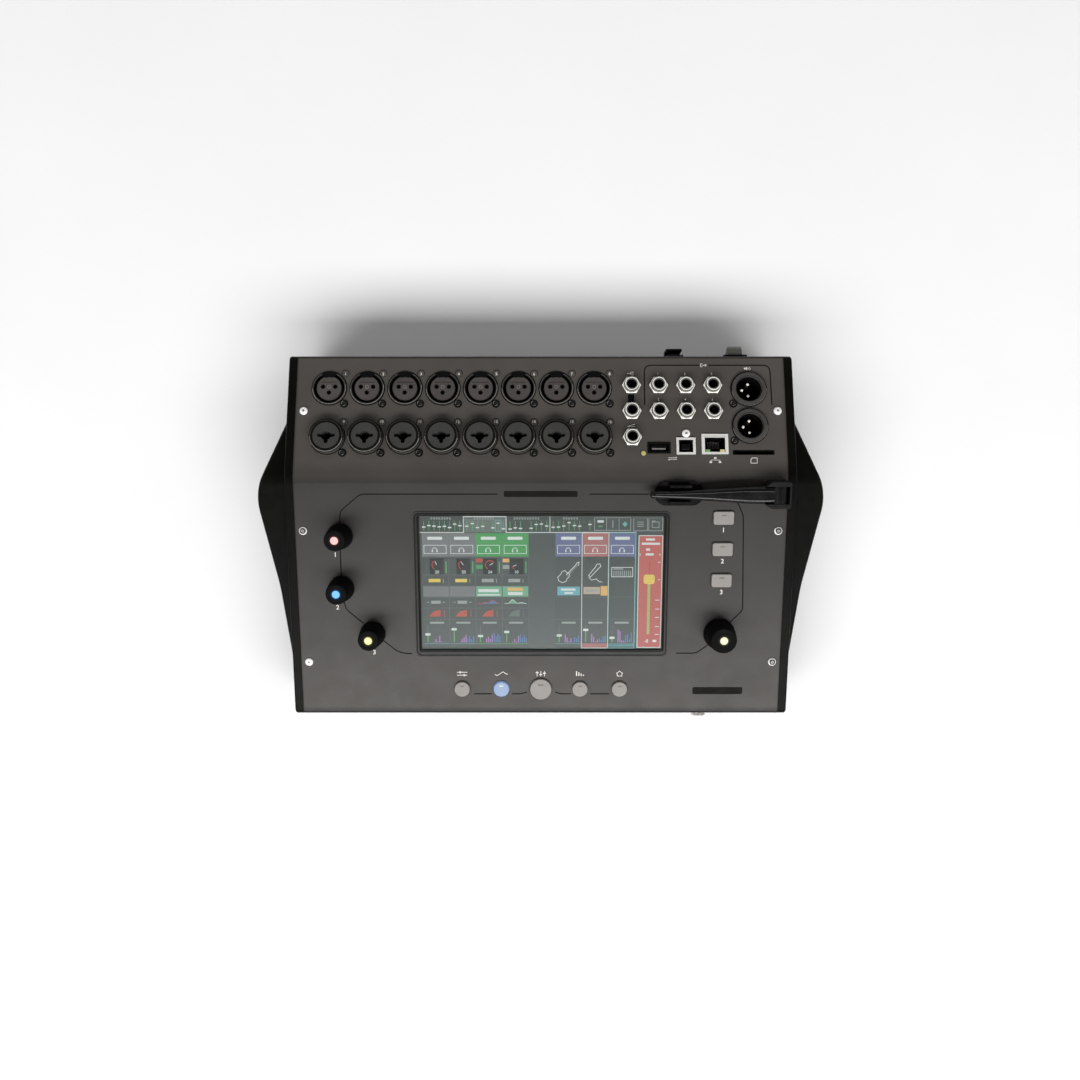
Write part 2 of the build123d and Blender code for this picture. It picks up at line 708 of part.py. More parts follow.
card_reader.part.label = "card_reader"
export_step(card_reader.part, "parts/card_reader.step")

with BuildPart() as status_led:
    with BuildSketch(on_sockets(*status_led_spot, 0.0)):
        Circle(led_radius)
    extrude(amount=led_proud, taper=30)
    with BuildSketch(on_sockets(*status_led_spot, 0.0)):
        Circle(led_radius)
    extrude(amount=socket_floor)

status_led.part.label = "status_led"
export_step(status_led.part, "parts/status_led.step")

# ================================================================ fasteners and feet
panel_head_radius = 2.6
panel_head_height = 1.5
panel_shank_radius = 1.45
panel_shank_length = 8.0
cross_slot = (3.4, 0.7)
with BuildPart() as panel_screws:
    screw_planes = [on_sockets(x, run) for x, run in socket_panel_screws]
    screw_planes += [on_controls(x, run) for x, run in control_panel_screws]
    for plane in screw_planes:
        with BuildSketch(plane):
            Circle(panel_head_radius)
        extrude(amount=panel_head_height / 2)
        with BuildSketch(plane.offset(panel_head_height / 2)):
            Circle(panel_head_radius)
        extrude(amount=panel_head_height / 2, taper=40)
        with BuildSketch(plane):
            Circle(panel_shank_radius)
        extrude(amount=-panel_shank_length)
        with BuildSketch(plane.offset(panel_head_height)):
            Rectangle(*cross_slot)
            Rectangle(*reversed(cross_slot))
        extrude(amount=-1.0, mode=Mode.SUBTRACT)

panel_screws.part.label = "panel_screws"
export_step(panel_screws.part, "parts/panel_screws.step")

with BuildPart() as socket_screws:
    for x, run in socket_screw_spots:
        with BuildSketch(on_sockets(x, run)):
            Circle(socket_screw_head)
        extrude(amount=socket_screw_height)
        with BuildSketch(on_sockets(x, run)):
            Circle(socket_screw_shank)
        extrude(amount=-6.0)
        with BuildSketch(on_sockets(x, run, socket_screw_height)):
            RegularPolygon(socket_screw_shank, 6)
        extrude(amount=-0.7, mode=Mode.SUBTRACT)

socket_screws.part.label = "socket_screws"
export_step(socket_screws.part, "parts/socket_screws.step")

foot_spots = [(x, y) for x in (-138, 138) for y in (case_front + 20, case_rear - 20)]
base_screw_spots = [(x, y) for x in (-152, -50, 50, 152) for y in (case_front + 9, case_rear - 9)]
base_screw_height = 1.4
with BuildPart() as base_screws:
    with BuildSketch(Plane.XY.offset(foot_height)):
        with Locations(base_screw_spots):
            Circle(panel_head_radius)
    extrude(amount=-base_screw_height)
    with BuildSketch(Plane.XY.offset(foot_height - base_screw_height)):
        with Locations(base_screw_spots):
            Rectangle(*cross_slot)
            Rectangle(*reversed(cross_slot))
    extrude(amount=0.9, mode=Mode.SUBTRACT)

base_screws.part.label = "base_screws"
export_step(base_screws.part, "parts/base_screws.step")

foot_radius = 8.0
foot_recess = (3.4, 2.0)        # radius and depth of the hollow over a foot's screw
with BuildPart() as rubber_feet:
    with BuildSketch(Plane.XY.offset(foot_height)):
        with Locations(foot_spots):
            Circle(foot_radius)
    extrude(amount=-foot_height, taper=8)
    with BuildSketch(Plane.XY):
        with Locations(foot_spots):
            Circle(foot_recess[0])
    extrude(amount=foot_recess[1], mode=Mode.SUBTRACT)

rubber_feet.part.label = "rubber_feet"
export_step(rubber_feet.part, "parts/rubber_feet.step")

# ================================================================ knobs on lit shafts
shaft_tip_radius = 2.6
shaft_step_lift = 13.5
shaft_floor = -4.8
encoder_top = -control_drop + 6.8
bushing_top = 4.2
encoder_nut_top = 2.0


knob_bore = shaft_radius + 0.05
nut_well = (6.2, 5.2)           # radius and height of the hollow over the encoder's nut
skirt_height = 2.4
crown_height = 3.0
crown_draw = 0.5


def knob_profile(base_radius, top_radius):
    """Half-section of a knob: a short skirt, then a side that draws in to a flat top."""
    return [
        (knob_bore, knob_height),
        (knob_bore, nut_well[1]),
        nut_well,
        (nut_well[0], knob_gap),
        (base_radius, knob_gap),
        (base_radius, knob_gap + skirt_height),
        (top_radius + crown_draw, knob_height - crown_height),
        (top_radius, knob_height),
    ]


def turned_on(x, run):
    """Plane that holds the axis of a turned piece on the control slope, with its y along that axis."""
    base = on_controls(x, run)
    return Plane(origin=base.origin, x_dir=base.x_dir, z_dir=-base.y_dir)


for number, (x, run) in enumerate(knob_spots, start=1):
    name = "main_knob" if number == len(knob_spots) else f"soft_knob_{number}"
    radii = main_knob_radii if number == len(knob_spots) else small_knob_radii
    knob_plane = turned_on(x, run)
    knob_axis = Axis(knob_plane.origin, control_slope.z_dir)
    with BuildPart() as knob:
        with BuildSketch(knob_plane) as knob_section:
            with BuildLine():
                Polyline(knob_profile(*radii), close=True)
            make_face()
            fillet(knob_section.vertices().group_by(Axis.Y)[-1].sort_by(Axis.X)[-1], 1.1)
            fillet(knob_section.vertices().filter_by(lambda v: abs(v.X - radii[0]) < 0.01), 0.6)
        revolve(axis=knob_axis)
    knob.part.label = name
    export_step(knob.part, f"parts/{name}.step")

    with BuildPart() as lit_shaft:
        with BuildSketch(on_controls(x, run, shaft_floor)):
            Circle(shaft_radius)
        extrude(amount=shaft_step_lift - shaft_floor)
        with BuildSketch(on_controls(x, run, shaft_step_lift)):
            Circle(shaft_tip_radius)
        extrude(amount=knob_height - shaft_step_lift - 0.3)
        with BuildSketch(on_controls(x, run, knob_height - 0.3)):
            Circle(shaft_tip_radius)
        extrude(amount=0.5, taper=45)
    lit_shaft.part.label = f"lit_shaft_{number}"
    export_step(lit_shaft.part, f"parts/lit_shaft_{number}.step")

with BuildPart() as encoder_bodies:
    for x, run in knob_spots:
        with BuildSketch(on_controls(x, run, -control_drop)):
            RectangleRounded(12.0, 13.2, 0.8)
        extrude(amount=encoder_top + control_drop)
        with BuildSketch(on_controls(x, run, encoder_top)):
            Circle(encoder_bushing_radius)
        extrude(amount=bushing_top - encoder_top)
        with BuildSketch(on_controls(x, run, bushing_top)):
            Circle(shaft_radius + shaft_clearance)
        extrude(amount=shaft_floor - 0.2 - bushing_top, mode=Mode.SUBTRACT)

encoder_bodies.part.label = "encoder_bodies"
export_step(encoder_bodies.part, "parts/encoder_bodies.step")

with BuildPart() as encoder_nuts:
    for x, run in knob_spots:
        with BuildSketch(on_controls(x, run)):
            RegularPolygon(5.6, 6)
            Circle(encoder_bushing_radius + 0.05, mode=Mode.SUBTRACT)
        extrude(amount=encoder_nut_top)

encoder_nuts.part.label = "encoder_nuts"
export_step(encoder_nuts.part, "parts/encoder_nuts.step")

# ================================================================ keys and buttons
key_slot_rise = 1.9
key_slot_length = 3.2
slot_width = 0.8
slot_depth = 0.3
flange_top = -sheet - 0.2
stem_foot = -6.4
switch_top = stem_foot - button_travel - 0.2
for number, (x, run) in enumerate(key_spots, start=1):
    with BuildPart() as soft_key:
        with BuildSketch(on_controls(x, run, flange_top)):
            RectangleRounded(*key_size, 1.4)
        extrude(amount=button_proud - flange_top)
        fillet(soft_key.faces().sort_by(Axis(control_slope.origin, control_slope.z_dir))[-1].edges(), 0.5)
        with BuildSketch(on_controls(x, run + key_slot_rise, button_proud)):
            SlotOverall(key_slot_length, slot_width)
        extrude(amount=-slot_depth, mode=Mode.SUBTRACT)
        with BuildSketch(on_controls(x, run, flange_top)):
            RectangleRounded(key_size[0] + 2 * flange_margin, key_size[1] + 2 * flange_margin, 1.8)
        extrude(amount=-flange_thickness)
        with BuildSketch(on_controls(x, run, flange_top - flange_thickness)):
            Circle(stem_radius)
        extrude(amount=stem_foot - flange_top + flange_thickness)
    soft_key.part.label = f"soft_key_{number}"
    export_step(soft_key.part, f"parts/soft_key_{number}.step")

slope_axis = Axis(control_slope.origin, control_slope.z_dir)
for number, ((x, run), radius) in enumerate(zip(button_spots, button_radii), start=1):
    with BuildPart() as mode_button:
        with BuildSketch(on_controls(x, run, flange_top)):
            Circle(radius)
        extrude(amount=button_proud - flange_top)
        fillet(mode_button.faces().sort_by(slope_axis)[-1].edges(), 0.6)
        with BuildSketch(on_controls(x, run + radius * 0.45, button_proud)):
            SlotOverall(radius * 0.55, slot_width)
        extrude(amount=-slot_depth, mode=Mode.SUBTRACT)
        with BuildSketch(on_controls(x, run, flange_top)):
            Circle(radius + flange_margin)
        extrude(amount=-flange_thickness)
        with BuildSketch(on_controls(x, run, flange_top - flange_thickness)):
            Circle(stem_radius)
        extrude(amount=stem_foot - flange_top + flange_thickness)
    mode_button.part.label = f"mode_button_{number}"
    export_step(mode_button.part, f"parts/mode_button_{number}.step")

switch_size = 6.0
switch_height = 3.6
plunger_radius = 1.6
with BuildPart() as key_switches:
    for x, run in key_spots + button_spots:
        with BuildSketch(on_controls(x, run, -control_drop)):
            RectangleRounded(switch_size, switch_size, 0.5)
        extrude(amount=switch_height)
        with BuildSketch(on_controls(x, run, -control_drop + switch_height)):
            Circle(plunger_radius)
        extrude(amount=switch_top + control_drop - switch_height)

key_switches.part.label = "key_switches"
export_step(key_switches.part, "parts/key_switches.step")

# ================================================================ antenna
slope_up = control_slope.y_dir


def across_antenna(x, lift):
    """Plane square to the stowed antenna at x, with its own x up the slope and facing its tip."""
    origin = control_slope.from_local_coords((x, antenna_run, lift))
    return Plane(origin=origin, x_dir=-slope_up, z_dir=(-1, 0, 0))


def along_pin(lift=0.0):
    """Plane through the antenna's hinge, facing up the slope, centred on the hinge pin."""
    origin = control_slope.from_local_coords((antenna_pivot_x, antenna_run + lift, antenna_lift))
    return Plane(origin=origin, x_dir=(1, 0, 0), z_dir=slope_up)


mount_left_x = 139.6
mount_right_x = 156.6
mount_width = 16.8
mount_floor = 1.6
mount_height = antenna_lift + 4.6
mount_slope = (5.0, 3.5)        # cut-back of the mount's left corners
ear_gap = 0.25
pin_length_inset = 1.2          # pin's ends inside the mount's sides
ear_inner = antenna_root_width / 2 + ear_gap
with BuildPart() as antenna_mount:
    with BuildSketch(on_controls((mount_left_x + mount_right_x) / 2, antenna_run)) as mount_plan:
        with BuildLine():
            half_length = (mount_right_x - mount_left_x) / 2
            Polyline(
                (-half_length, mount_width / 2 - mount_slope[1]),
                (-half_length + mount_slope[0], mount_width / 2),
                (half_length, mount_width / 2),
                (half_length, -mount_width / 2),
                (-half_length + mount_slope[0], -mount_width / 2),
                (-half_length, -mount_width / 2 + mount_slope[1]),
                close=True,
            )
        make_face()
        fillet(mount_plan.vertices(), 1.2)
    extrude(amount=mount_height)
    # slot between the ears, open to the left and upwards
    with BuildSketch(along_pin(-ear_inner)):
        with Locations((-6.0, 10 - antenna_lift + mount_floor)):
            Rectangle(24.0 - 0.8, 20)
    extrude(amount=2 * ear_inner, mode=Mode.SUBTRACT)
    with BuildSketch(along_pin(-mount_width / 2 + pin_length_inset)):
        Circle(antenna_pin_radius)
    extrude(amount=mount_width - 2 * pin_length_inset, mode=Mode.SUBTRACT)

antenna_mount.part.label = "antenna_mount"
export_step(antenna_mount.part, "parts/antenna_mount.step")

with BuildPart() as antenna_pin:
    with BuildSketch(along_pin(-mount_width / 2 + pin_length_inset)):
        Circle(antenna_pin_radius)
    extrude(amount=mount_width - 2 * pin_length_inset)

antenna_pin.part.label = "antenna_pin"
export_step(antenna_pin.part, "parts/antenna_pin.step")

# sections of the blade: distance from the pivot, width and thickness
blade_sections = [(3.0, 10.6, 8.6), (24.0, 10.2, 8.0), (40.0, 7.9, 7.2), (62.0, 5.3, 5.8)]
blade_tip_section = (4.2, 5.0)
with BuildPart() as antenna_blade:
    for reach, wide, thick in blade_sections:
        with BuildSketch(across_antenna(antenna_pivot_x - reach, antenna_lift)):
            RectangleRounded(wide, thick, 0.3 * thick)
    with BuildSketch(across_antenna(antenna_tip_x, antenna_lift)):
        RectangleRounded(*blade_tip_section, 1.7)
    loft()
    fillet(antenna_blade.faces().sort_by(Axis.X)[0].edges(), 1.4)
    with BuildSketch(along_pin(-antenna_root_width / 2)):
        Circle(knuckle_radius)
        with Locations((-2.0, 0)):
            Rectangle(4.0, blade_sections[0][2])
    extrude(amount=antenna_root_width)
    with BuildSketch(along_pin(-antenna_root_width / 2)):
        Circle(antenna_pin_radius + 0.05)
    extrude(amount=antenna_root_width, mode=Mode.SUBTRACT)

antenna_blade.part.label = "antenna_blade"
export_step(antenna_blade.part, "parts/antenna_blade.step")

clip_x = 88.0
clip_size = (31.6, 15.2)
clip_base = 1.8
prong_size = (14.0, 1.6)
prong_spread = 5.2
prong_height = 6.4
with BuildPart() as antenna_clip:
    with BuildSketch(on_controls(clip_x, antenna_run)):
        SlotOverall(*clip_size)
    extrude(amount=clip_base)
    for side in (-1, 1):
        with BuildSketch(on_controls(clip_x, antenna_run + side * prong_spread, clip_base)):
            RectangleRounded(*prong_size, 0.7)
        extrude(amount=prong_height)

antenna_clip.part.label = "antenna_clip"
export_step(antenna_clip.part, "parts/antenna_clip.step")

# ================================================================ power switch, inlet and cable hook
rocker_reach = math.degrees(math.asin(rocker_proud / rocker_radius))
rocker_corner = math.radians(rocker_reach - rocker_tilt)
corner_along = rocker_radius * math.cos(rocker_corner)
corner_out = rocker_radius * math.sin(rocker_corner)
rocker_waist = 3.6          # middle of the rocker's face above its pivot
rocker_back = 2.0           # back of the rocker below its pivot
face_overrun = 3.0
face_slope = (corner_out - rocker_waist) / corner_along
face_end = (corner_along + face_overrun, corner_out + face_slope * face_overrun)
above_rocker = 12.0
stub_radius = 1.2
stub_length = 1.2
stub_gap = 0.05


def beside_rocker(from_middle, tilt=0.0):
    """Plane square to the rocker's pivot, its own x running down and, with the tilt, into the wall."""
    origin = (rocker_spot[0] + from_middle, case_rear, rocker_spot[1])
    return Plane(origin=origin, x_dir=(0, -math.sin(tilt), -math.cos(tilt)), z_dir=(1, 0, 0))


with BuildPart() as power_rocker:
    with BuildSketch(beside_rocker(-rocker_width / 2, math.radians(rocker_tilt))):
        Circle(rocker_radius)
        with BuildLine():
            Polyline(
                (-face_end[0], face_end[1]),
                (0, rocker_waist),
                face_end,
                (face_end[0], above_rocker),
                (-face_end[0], above_rocker),
                close=True,
            )
        make_face(mode=Mode.SUBTRACT)
        with Locations((0, -rocker_back)):
            Rectangle(24, 12, align=(Align.CENTER, Align.MAX), mode=Mode.SUBTRACT)
    extrude(amount=rocker_width)
    with BuildSketch(beside_rocker(-rocker_width / 2 - stub_length)):
        Circle(stub_radius)
    extrude(amount=rocker_width + 2 * stub_length)

power_rocker.part.label = "power_rocker"
export_step(power_rocker.part, "parts/power_rocker.step")

aperture = (rocker_width + 2 * rocker_gap, 2 * (rocker_radius + rocker_gap))
with BuildPart() as power_switch_housing:
    with BuildSketch(on_rear(*rocker_spot)):
        RectangleRounded(switch_bezel[0], switch_bezel[1], 1.2)
    extrude(amount=switch_bezel[2])
    with BuildSketch(on_rear(*rocker_spot)):
        Rectangle(switch_body[0], switch_body[1])
    extrude(amount=-switch_body[2])
    with BuildSketch(on_rear(*rocker_spot, switch_bezel[2])):
        Rectangle(*aperture)
    extrude(amount=-switch_bezel[2] - rocker_radius - rocker_gap, mode=Mode.SUBTRACT)
    with BuildSketch(beside_rocker(-rocker_width / 2 - stub_length - stub_gap)):
        Circle(stub_radius + stub_gap)
    extrude(amount=rocker_width + 2 * (stub_length + stub_gap), mode=Mode.SUBTRACT)

power_switch_housing.part.label = "power_switch_housing"
export_step(power_switch_housing.part, "parts/power_switch_housing.step")

inlet_rim = (6.2, 0.8)
inlet_neck = 3.0
inlet_block = (11.0, 11.0)
inlet_mouth = (2.9, 10.0)
inlet_pin_radius = 1.0
with BuildPart() as power_inlet:
    with BuildSketch(on_rear(*inlet_spot)):
        Circle(inlet_rim[0])
    extrude(amount=inlet_rim[1])
    with BuildSketch(on_rear(*inlet_spot)):
        Circle(inlet_barrel_radius)
    extrude(amount=-inlet_neck)
    with BuildSketch(on_rear(*inlet_spot, -inlet_neck)):
        Rectangle(*inlet_block)
    extrude(amount=-inlet_block[0])
    with BuildSketch(on_rear(*inlet_spot, inlet_rim[1])):
        Circle(inlet_mouth[0])
    extrude(amount=-inlet_mouth[1], mode=Mode.SUBTRACT)
    with BuildSketch(on_rear(*inlet_spot, inlet_rim[1] - inlet_mouth[1])):
        Circle(inlet_pin_radius)
    extrude(amount=inlet_mouth[1] - 1.0)

power_inlet.part.label = "power_inlet"
export_step(power_inlet.part, "parts/power_inlet.step")

hook_width = 10.4
hook_reach = 6.8
hook_wall = 1.6
with BuildPart() as cable_hook:
    with BuildSketch(Plane.YZ.offset(hook_spot[0] - hook_width / 2)) as hook_section:
        with BuildLine():
            Polyline(
                (case_rear, hook_spot[1] - 8.0),
                (case_rear + hook_reach, hook_spot[1] - 8.0),
                (case_rear + hook_reach, hook_spot[1] + 3.0),
                (case_rear + hook_reach - hook_wall, hook_spot[1] + 3.0),
                (case_rear + hook_reach - hook_wall, hook_spot[1] - 5.6),
                (case_rear + hook_wall, hook_spot[1] - 5.6),
                (case_rear + hook_wall, hook_spot[1] + 9.0),
                (case_rear, hook_spot[1] + 9.0),
                close=True,
            )
        make_face()
        fillet(hook_section.vertices().filter_by(lambda v: v.X > case_rear + 0.1), 0.6)
    extrude(amount=hook_width)

cable_hook.part.label = "cable_hook"
export_step(cable_hook.part, "parts/cable_hook.step")

# ================================================================ boards inside
control_board_size = (296.0, 144.0)
control_board_run = 80.0
control_post_spots = [(x, run) for x in (-145.0, 145.0) for run in (10.0, 146.0)]
with BuildPart() as control_board:
    with BuildSketch(on_controls(0, control_board_run, -control_drop)):
        RectangleRounded(*control_board_size, 2)
    extrude(amount=-board_thickness)
    for x, run in control_post_spots:
        with BuildSketch(on_controls(x, run, -control_drop)):
            Circle(panel_screw_hole)
        extrude(amount=-board_thickness, mode=Mode.SUBTRACT)

control_board.part.label = "control_board"
export_step(control_board.part, "parts/control_board.step")

socket_board_size = (300.0, 66.0)
socket_board_run = 39.0
with BuildPart() as socket_board:
    with BuildSketch(on_sockets(0, socket_board_run, -board_drop)):
        RectangleRounded(*socket_board_size, 2)
    extrude(amount=-board_thickness)

socket_board.part.label = "socket_board"
export_step(socket_board.part, "parts/socket_board.step")

main_board_size = (150.0, 96.0)
main_board_centre = (-40.0, -30.0)
main_board_z = foot_height + sheet + 8.0
chip_spots = [(-80, -50), (-10, -50), (-80, -10), (-10, -8)]
chip_size = (16.0, 1.4)         # side and height
with BuildPart() as main_board:
    with BuildSketch(Plane.XY.offset(main_board_z)):
        with Locations(main_board_centre):
            RectangleRounded(*main_board_size, 2)
    extrude(amount=board_thickness)
    with BuildSketch(Plane.XY.offset(main_board_z + board_thickness)):
        with Locations(chip_spots):
            RectangleRounded(chip_size[0], chip_size[0], 0.5)
    extrude(amount=chip_size[1])

main_board.part.label = "main_board"
export_step(main_board.part, "parts/main_board.step")

sink_spot = (-45.0, -30.0)
sink_size = (36.0, 30.0)
sink_base = 2.0
fin_pitch = 4.0
fin_thickness = 1.2
fin_height = 8.0
with BuildPart() as heat_sink:
    sink_z = main_board_z + board_thickness
    with BuildSketch(Plane.XY.offset(sink_z)):
        with Locations(sink_spot):
            Rectangle(*sink_size)
    extrude(amount=sink_base)
    with BuildSketch(Plane.XY.offset(sink_z + sink_base)):
        with Locations(sink_spot):
            with GridLocations(fin_pitch, 0, 9, 1):
                Rectangle(fin_thickness, sink_size[1])
    extrude(amount=fin_height)

heat_sink.part.label = "heat_sink"
export_step(heat_sink.part, "parts/heat_sink.step")

with BuildPart() as board_standoffs:
    with BuildSketch(Plane.XY.offset(foot_height + sheet)):
        with Locations(main_board_centre):
            with GridLocations(main_board_size[0] - 10, main_board_size[1] - 10, 2, 2):
                Circle(3.0)
    extrude(amount=main_board_z - foot_height - sheet)
    for x, run in control_post_spots:
        with BuildSketch(on_controls(x, run, -sheet)):
            RegularPolygon(3.2, 6)
        extrude(amount=sheet - control_drop)

board_standoffs.part.label = "board_standoffs"
export_step(board_standoffs.part, "parts/board_standoffs.step")

# flat cable, from a connector on the main board up to the control board's underside
ribbon_x = 20.0
ribbon_foot = main_board_z + board_thickness
ribbon_top = (
    front_edge_z
    - case_front * math.tan(control_tilt)
    - (control_drop + board_thickness) / math.cos(control_tilt)
    - 0.2
)
ribbon_plug = (25.0, 3.0, 4.0)
ribbon_size = (22.0, 0.5)
with BuildPart() as ribbon_cable:
    with BuildSketch(Plane.XY.offset(ribbon_foot)):
        with Locations((ribbon_x, 0)):
            Rectangle(ribbon_plug[0], ribbon_plug[1])
    extrude(amount=ribbon_plug[2])
    with BuildSketch(Plane.XY.offset(ribbon_foot + ribbon_plug[2])):
        with Locations((ribbon_x, 0)):
            Rectangle(*ribbon_size)
    extrude(amount=ribbon_top - ribbon_foot - ribbon_plug[2])

ribbon_cable.part.label = "ribbon_cable"
export_step(ribbon_cable.part, "parts/ribbon_cable.step")
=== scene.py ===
import json
import math

import bmesh
import bpy
from mathutils import Matrix, Vector
from mathutils.geometry import tessellate_polygon


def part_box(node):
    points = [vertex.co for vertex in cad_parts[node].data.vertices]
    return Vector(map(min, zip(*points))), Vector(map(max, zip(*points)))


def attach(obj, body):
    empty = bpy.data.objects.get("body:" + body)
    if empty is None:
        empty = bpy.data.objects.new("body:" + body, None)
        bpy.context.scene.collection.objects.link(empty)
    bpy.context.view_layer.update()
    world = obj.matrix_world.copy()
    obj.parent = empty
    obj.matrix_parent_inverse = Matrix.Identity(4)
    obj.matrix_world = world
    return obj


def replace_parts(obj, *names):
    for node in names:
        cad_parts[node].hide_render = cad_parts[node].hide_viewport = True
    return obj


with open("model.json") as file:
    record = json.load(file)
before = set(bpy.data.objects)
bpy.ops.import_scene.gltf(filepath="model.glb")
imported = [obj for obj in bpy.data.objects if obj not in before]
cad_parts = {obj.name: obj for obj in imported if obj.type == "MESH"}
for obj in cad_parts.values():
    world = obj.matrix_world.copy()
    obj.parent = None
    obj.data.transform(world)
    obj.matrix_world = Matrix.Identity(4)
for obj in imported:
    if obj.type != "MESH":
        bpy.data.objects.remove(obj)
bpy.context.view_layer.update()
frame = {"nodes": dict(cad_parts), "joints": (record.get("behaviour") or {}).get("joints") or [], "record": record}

MM = 0.001
scene = bpy.context.scene
put_in_scene = scene.collection.objects.link

# ---- frames on the case's faces
joint_at = {j["name"]: j for j in frame["joints"]}
mount_at = {m["name"]: m for m in frame["record"]["mounts"]}
panel_low, panel_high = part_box("top_panel")
FRONT_INSET = 0.8 * MM      # from the front face to the line that runs up the control slope start at
REAR_INSET = 1.1 * MM       # from the rear wall to the line that runs up the connector slope start at


def slope(point, normal, edge_y):
    """Frame on a slope: x to the user's right, y to the rear, z out of the face, its origin on the slope's edge."""
    out = Vector(normal).normalized()
    rearward = out.cross(Vector((1, 0, 0)))
    edge = Vector(point) + rearward * ((edge_y - point[1]) / rearward.y)
    edge.x = 0
    axes = Matrix((Vector((1, 0, 0)), rearward, out)).transposed().to_4x4()
    return Matrix.Translation(edge) @ axes


knob_joint = joint_at["soft_knob_1_turn"]
control_slope = slope(knob_joint["pos_m"], knob_joint["axis"], panel_low.y + FRONT_INSET)
card_mount = mount_at["card_slot"]
socket_slope = slope(card_mount["pos_m"], card_mount["axis"], panel_high.y - REAR_INSET)


def shifted(place, x, y, z=0.0):
    """The same frame, moved by millimetres along its own axes."""
    return place @ Matrix.Translation(Vector((x, y, z)) * MM)


def on_controls(x, run, lift=0.0):
    """Frame on the control slope, run millimetres up from its front edge."""
    return shifted(control_slope, x, run, lift)


def on_sockets(x, run):
    """Frame on the connector slope, run millimetres up from its rear edge."""
    return shifted(socket_slope, x, -run)


def on_front(x, z):
    """Frame on the front face, seen from the front."""
    axes = Matrix(((1, 0, 0), (0, 0, 1), (0, -1, 0))).transposed().to_4x4()
    return Matrix.Translation((x * MM, panel_low.y, z * MM)) @ axes


def spot(name, face):
    """(x, run) in millimetres of a mount or joint on a slope."""
    at = mount_at.get(name) or joint_at[name]
    local = face.inverted() @ Vector(at["pos_m"])
    return local.x / MM, abs(local.y) / MM


def middle_of(box):
    """(x, run) in millimetres of the middle of a node's box on the control slope."""
    low, high = box
    local = control_slope.inverted() @ ((low + high) / 2)
    return local.x / MM, local.y / MM


mic_spots = [spot(f"mic_socket_{i}", socket_slope) for i in range(1, 9)]
combo_spots = [spot(f"combo_socket_{i}", socket_slope) for i in range(9, 17)]
main_spots = [spot(f"main_output_{side}", socket_slope) for side in ("left", "right")]
output_spots = [spot(f"jack_output_{i}", socket_slope) for i in range(1, 7)]
stereo_spots = [spot(f"jack_stereo_in_{side}", socket_slope) for side in ("left", "right")]
foot_spot = spot("jack_foot_switch_in", socket_slope)
jack_spots = stereo_spots + output_spots + [foot_spot]
knob_names = ["soft_knob_1", "soft_knob_2", "soft_knob_3", "main_knob"]
knob_spots = [spot(f"{name}_turn", control_slope) for name in knob_names]
key_spots = [middle_of(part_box(f"soft_key_{number}")) for number in range(1, 4)]
button_spots = [middle_of(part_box(f"mode_button_{number}")) for number in range(1, 6)]


# ---- materials
def srgb(r, g, b):
    """Linear colour from the 0 to 255 values that it should show as."""
    def one(v):
        v /= 255
        return v / 12.92 if v <= 0.04045 else ((v + 0.055) / 1.055) ** 2.4
    return (one(r), one(g), one(b), 1.0)


def scaled(colour, factor):
    return (colour[0] * factor, colour[1] * factor, colour[2] * factor, 1.0)


def new_material(name, **sockets):
    """A material, its node tree and its shader, with values on the shader's own sockets."""
    made = bpy.data.materials.new(name)
    made.use_nodes = True
    shader = made.node_tree.nodes["Principled BSDF"]
    for socket, value in sockets.items():
        shader.inputs[socket.replace("_", " ")].default_value = value
    return made, made.node_tree, shader


def add(tree, kind, values=None, links=None, **settings):
    """A new node with its settings, the values on its sockets and the sockets linked to it."""
    node = tree.nodes.new("ShaderNode" + kind)
    for setting, value in settings.items():
        setattr(node, setting, value)
    for socket, value in (values or {}).items():
        node.inputs[socket].default_value = value
    for socket, source in (links or {}).items():
        tree.links.new(source, node.inputs[socket])
    return node


def noise(tree, scale, detail=3.0, stretch=None):
    """Noise over the object's own coordinates, in waves per metre."""
    at = add(tree, "TexCoord").outputs["Object"]
    if stretch:
        at = add(tree, "Mapping", {"Scale": stretch}, {"Vector": at}).outputs["Vector"]
    texture = add(tree, "TexNoise", {"Scale": scale, "Detail": detail, "Roughness": 0.55}, {"Vector": at})
    return texture.outputs["Fac"]


def remap(tree, source, span, target, **settings):
    """Maps a span of values to a target span."""
    values = dict(zip(("From Min", "From Max", "To Min", "To Max"), span + target))
    return add(tree, "MapRange", values, {"Value": source}, **settings).outputs["Result"]


def mixed(tree, factor, first, second, blend="MIX"):
    """Mix of two colours. The factor and each colour may be a value or another node's output."""
    node = add(tree, "Mix", data_type="RGBA", blend_type=blend)
    for socket, source in zip((0, 6, 7), (factor, first, second)):
        if isinstance(source, bpy.types.NodeSocket):
            tree.links.new(source, node.inputs[socket])
        else:
            node.inputs[socket].default_value = source
    return node.outputs[2]


NOISE_SPAN = (0.3, 0.7)     # where nearly all of a noise's values lie


def clouded(tree, source, colour, mottle):
    """Colour that varies with a noise, by the mottle to each side."""
    amount = remap(tree, source, NOISE_SPAN, (0.0, 1.0))
    return mixed(tree, amount, scaled(colour, 1 - mottle), scaled(colour, 1 + mottle))


def bump(tree, shader, source, strength, depth):
    node = add(tree, "Bump", {"Strength": strength, "Distance": depth}, {"Height": source})
    tree.links.new(node.outputs["Normal"], shader.inputs["Normal"])


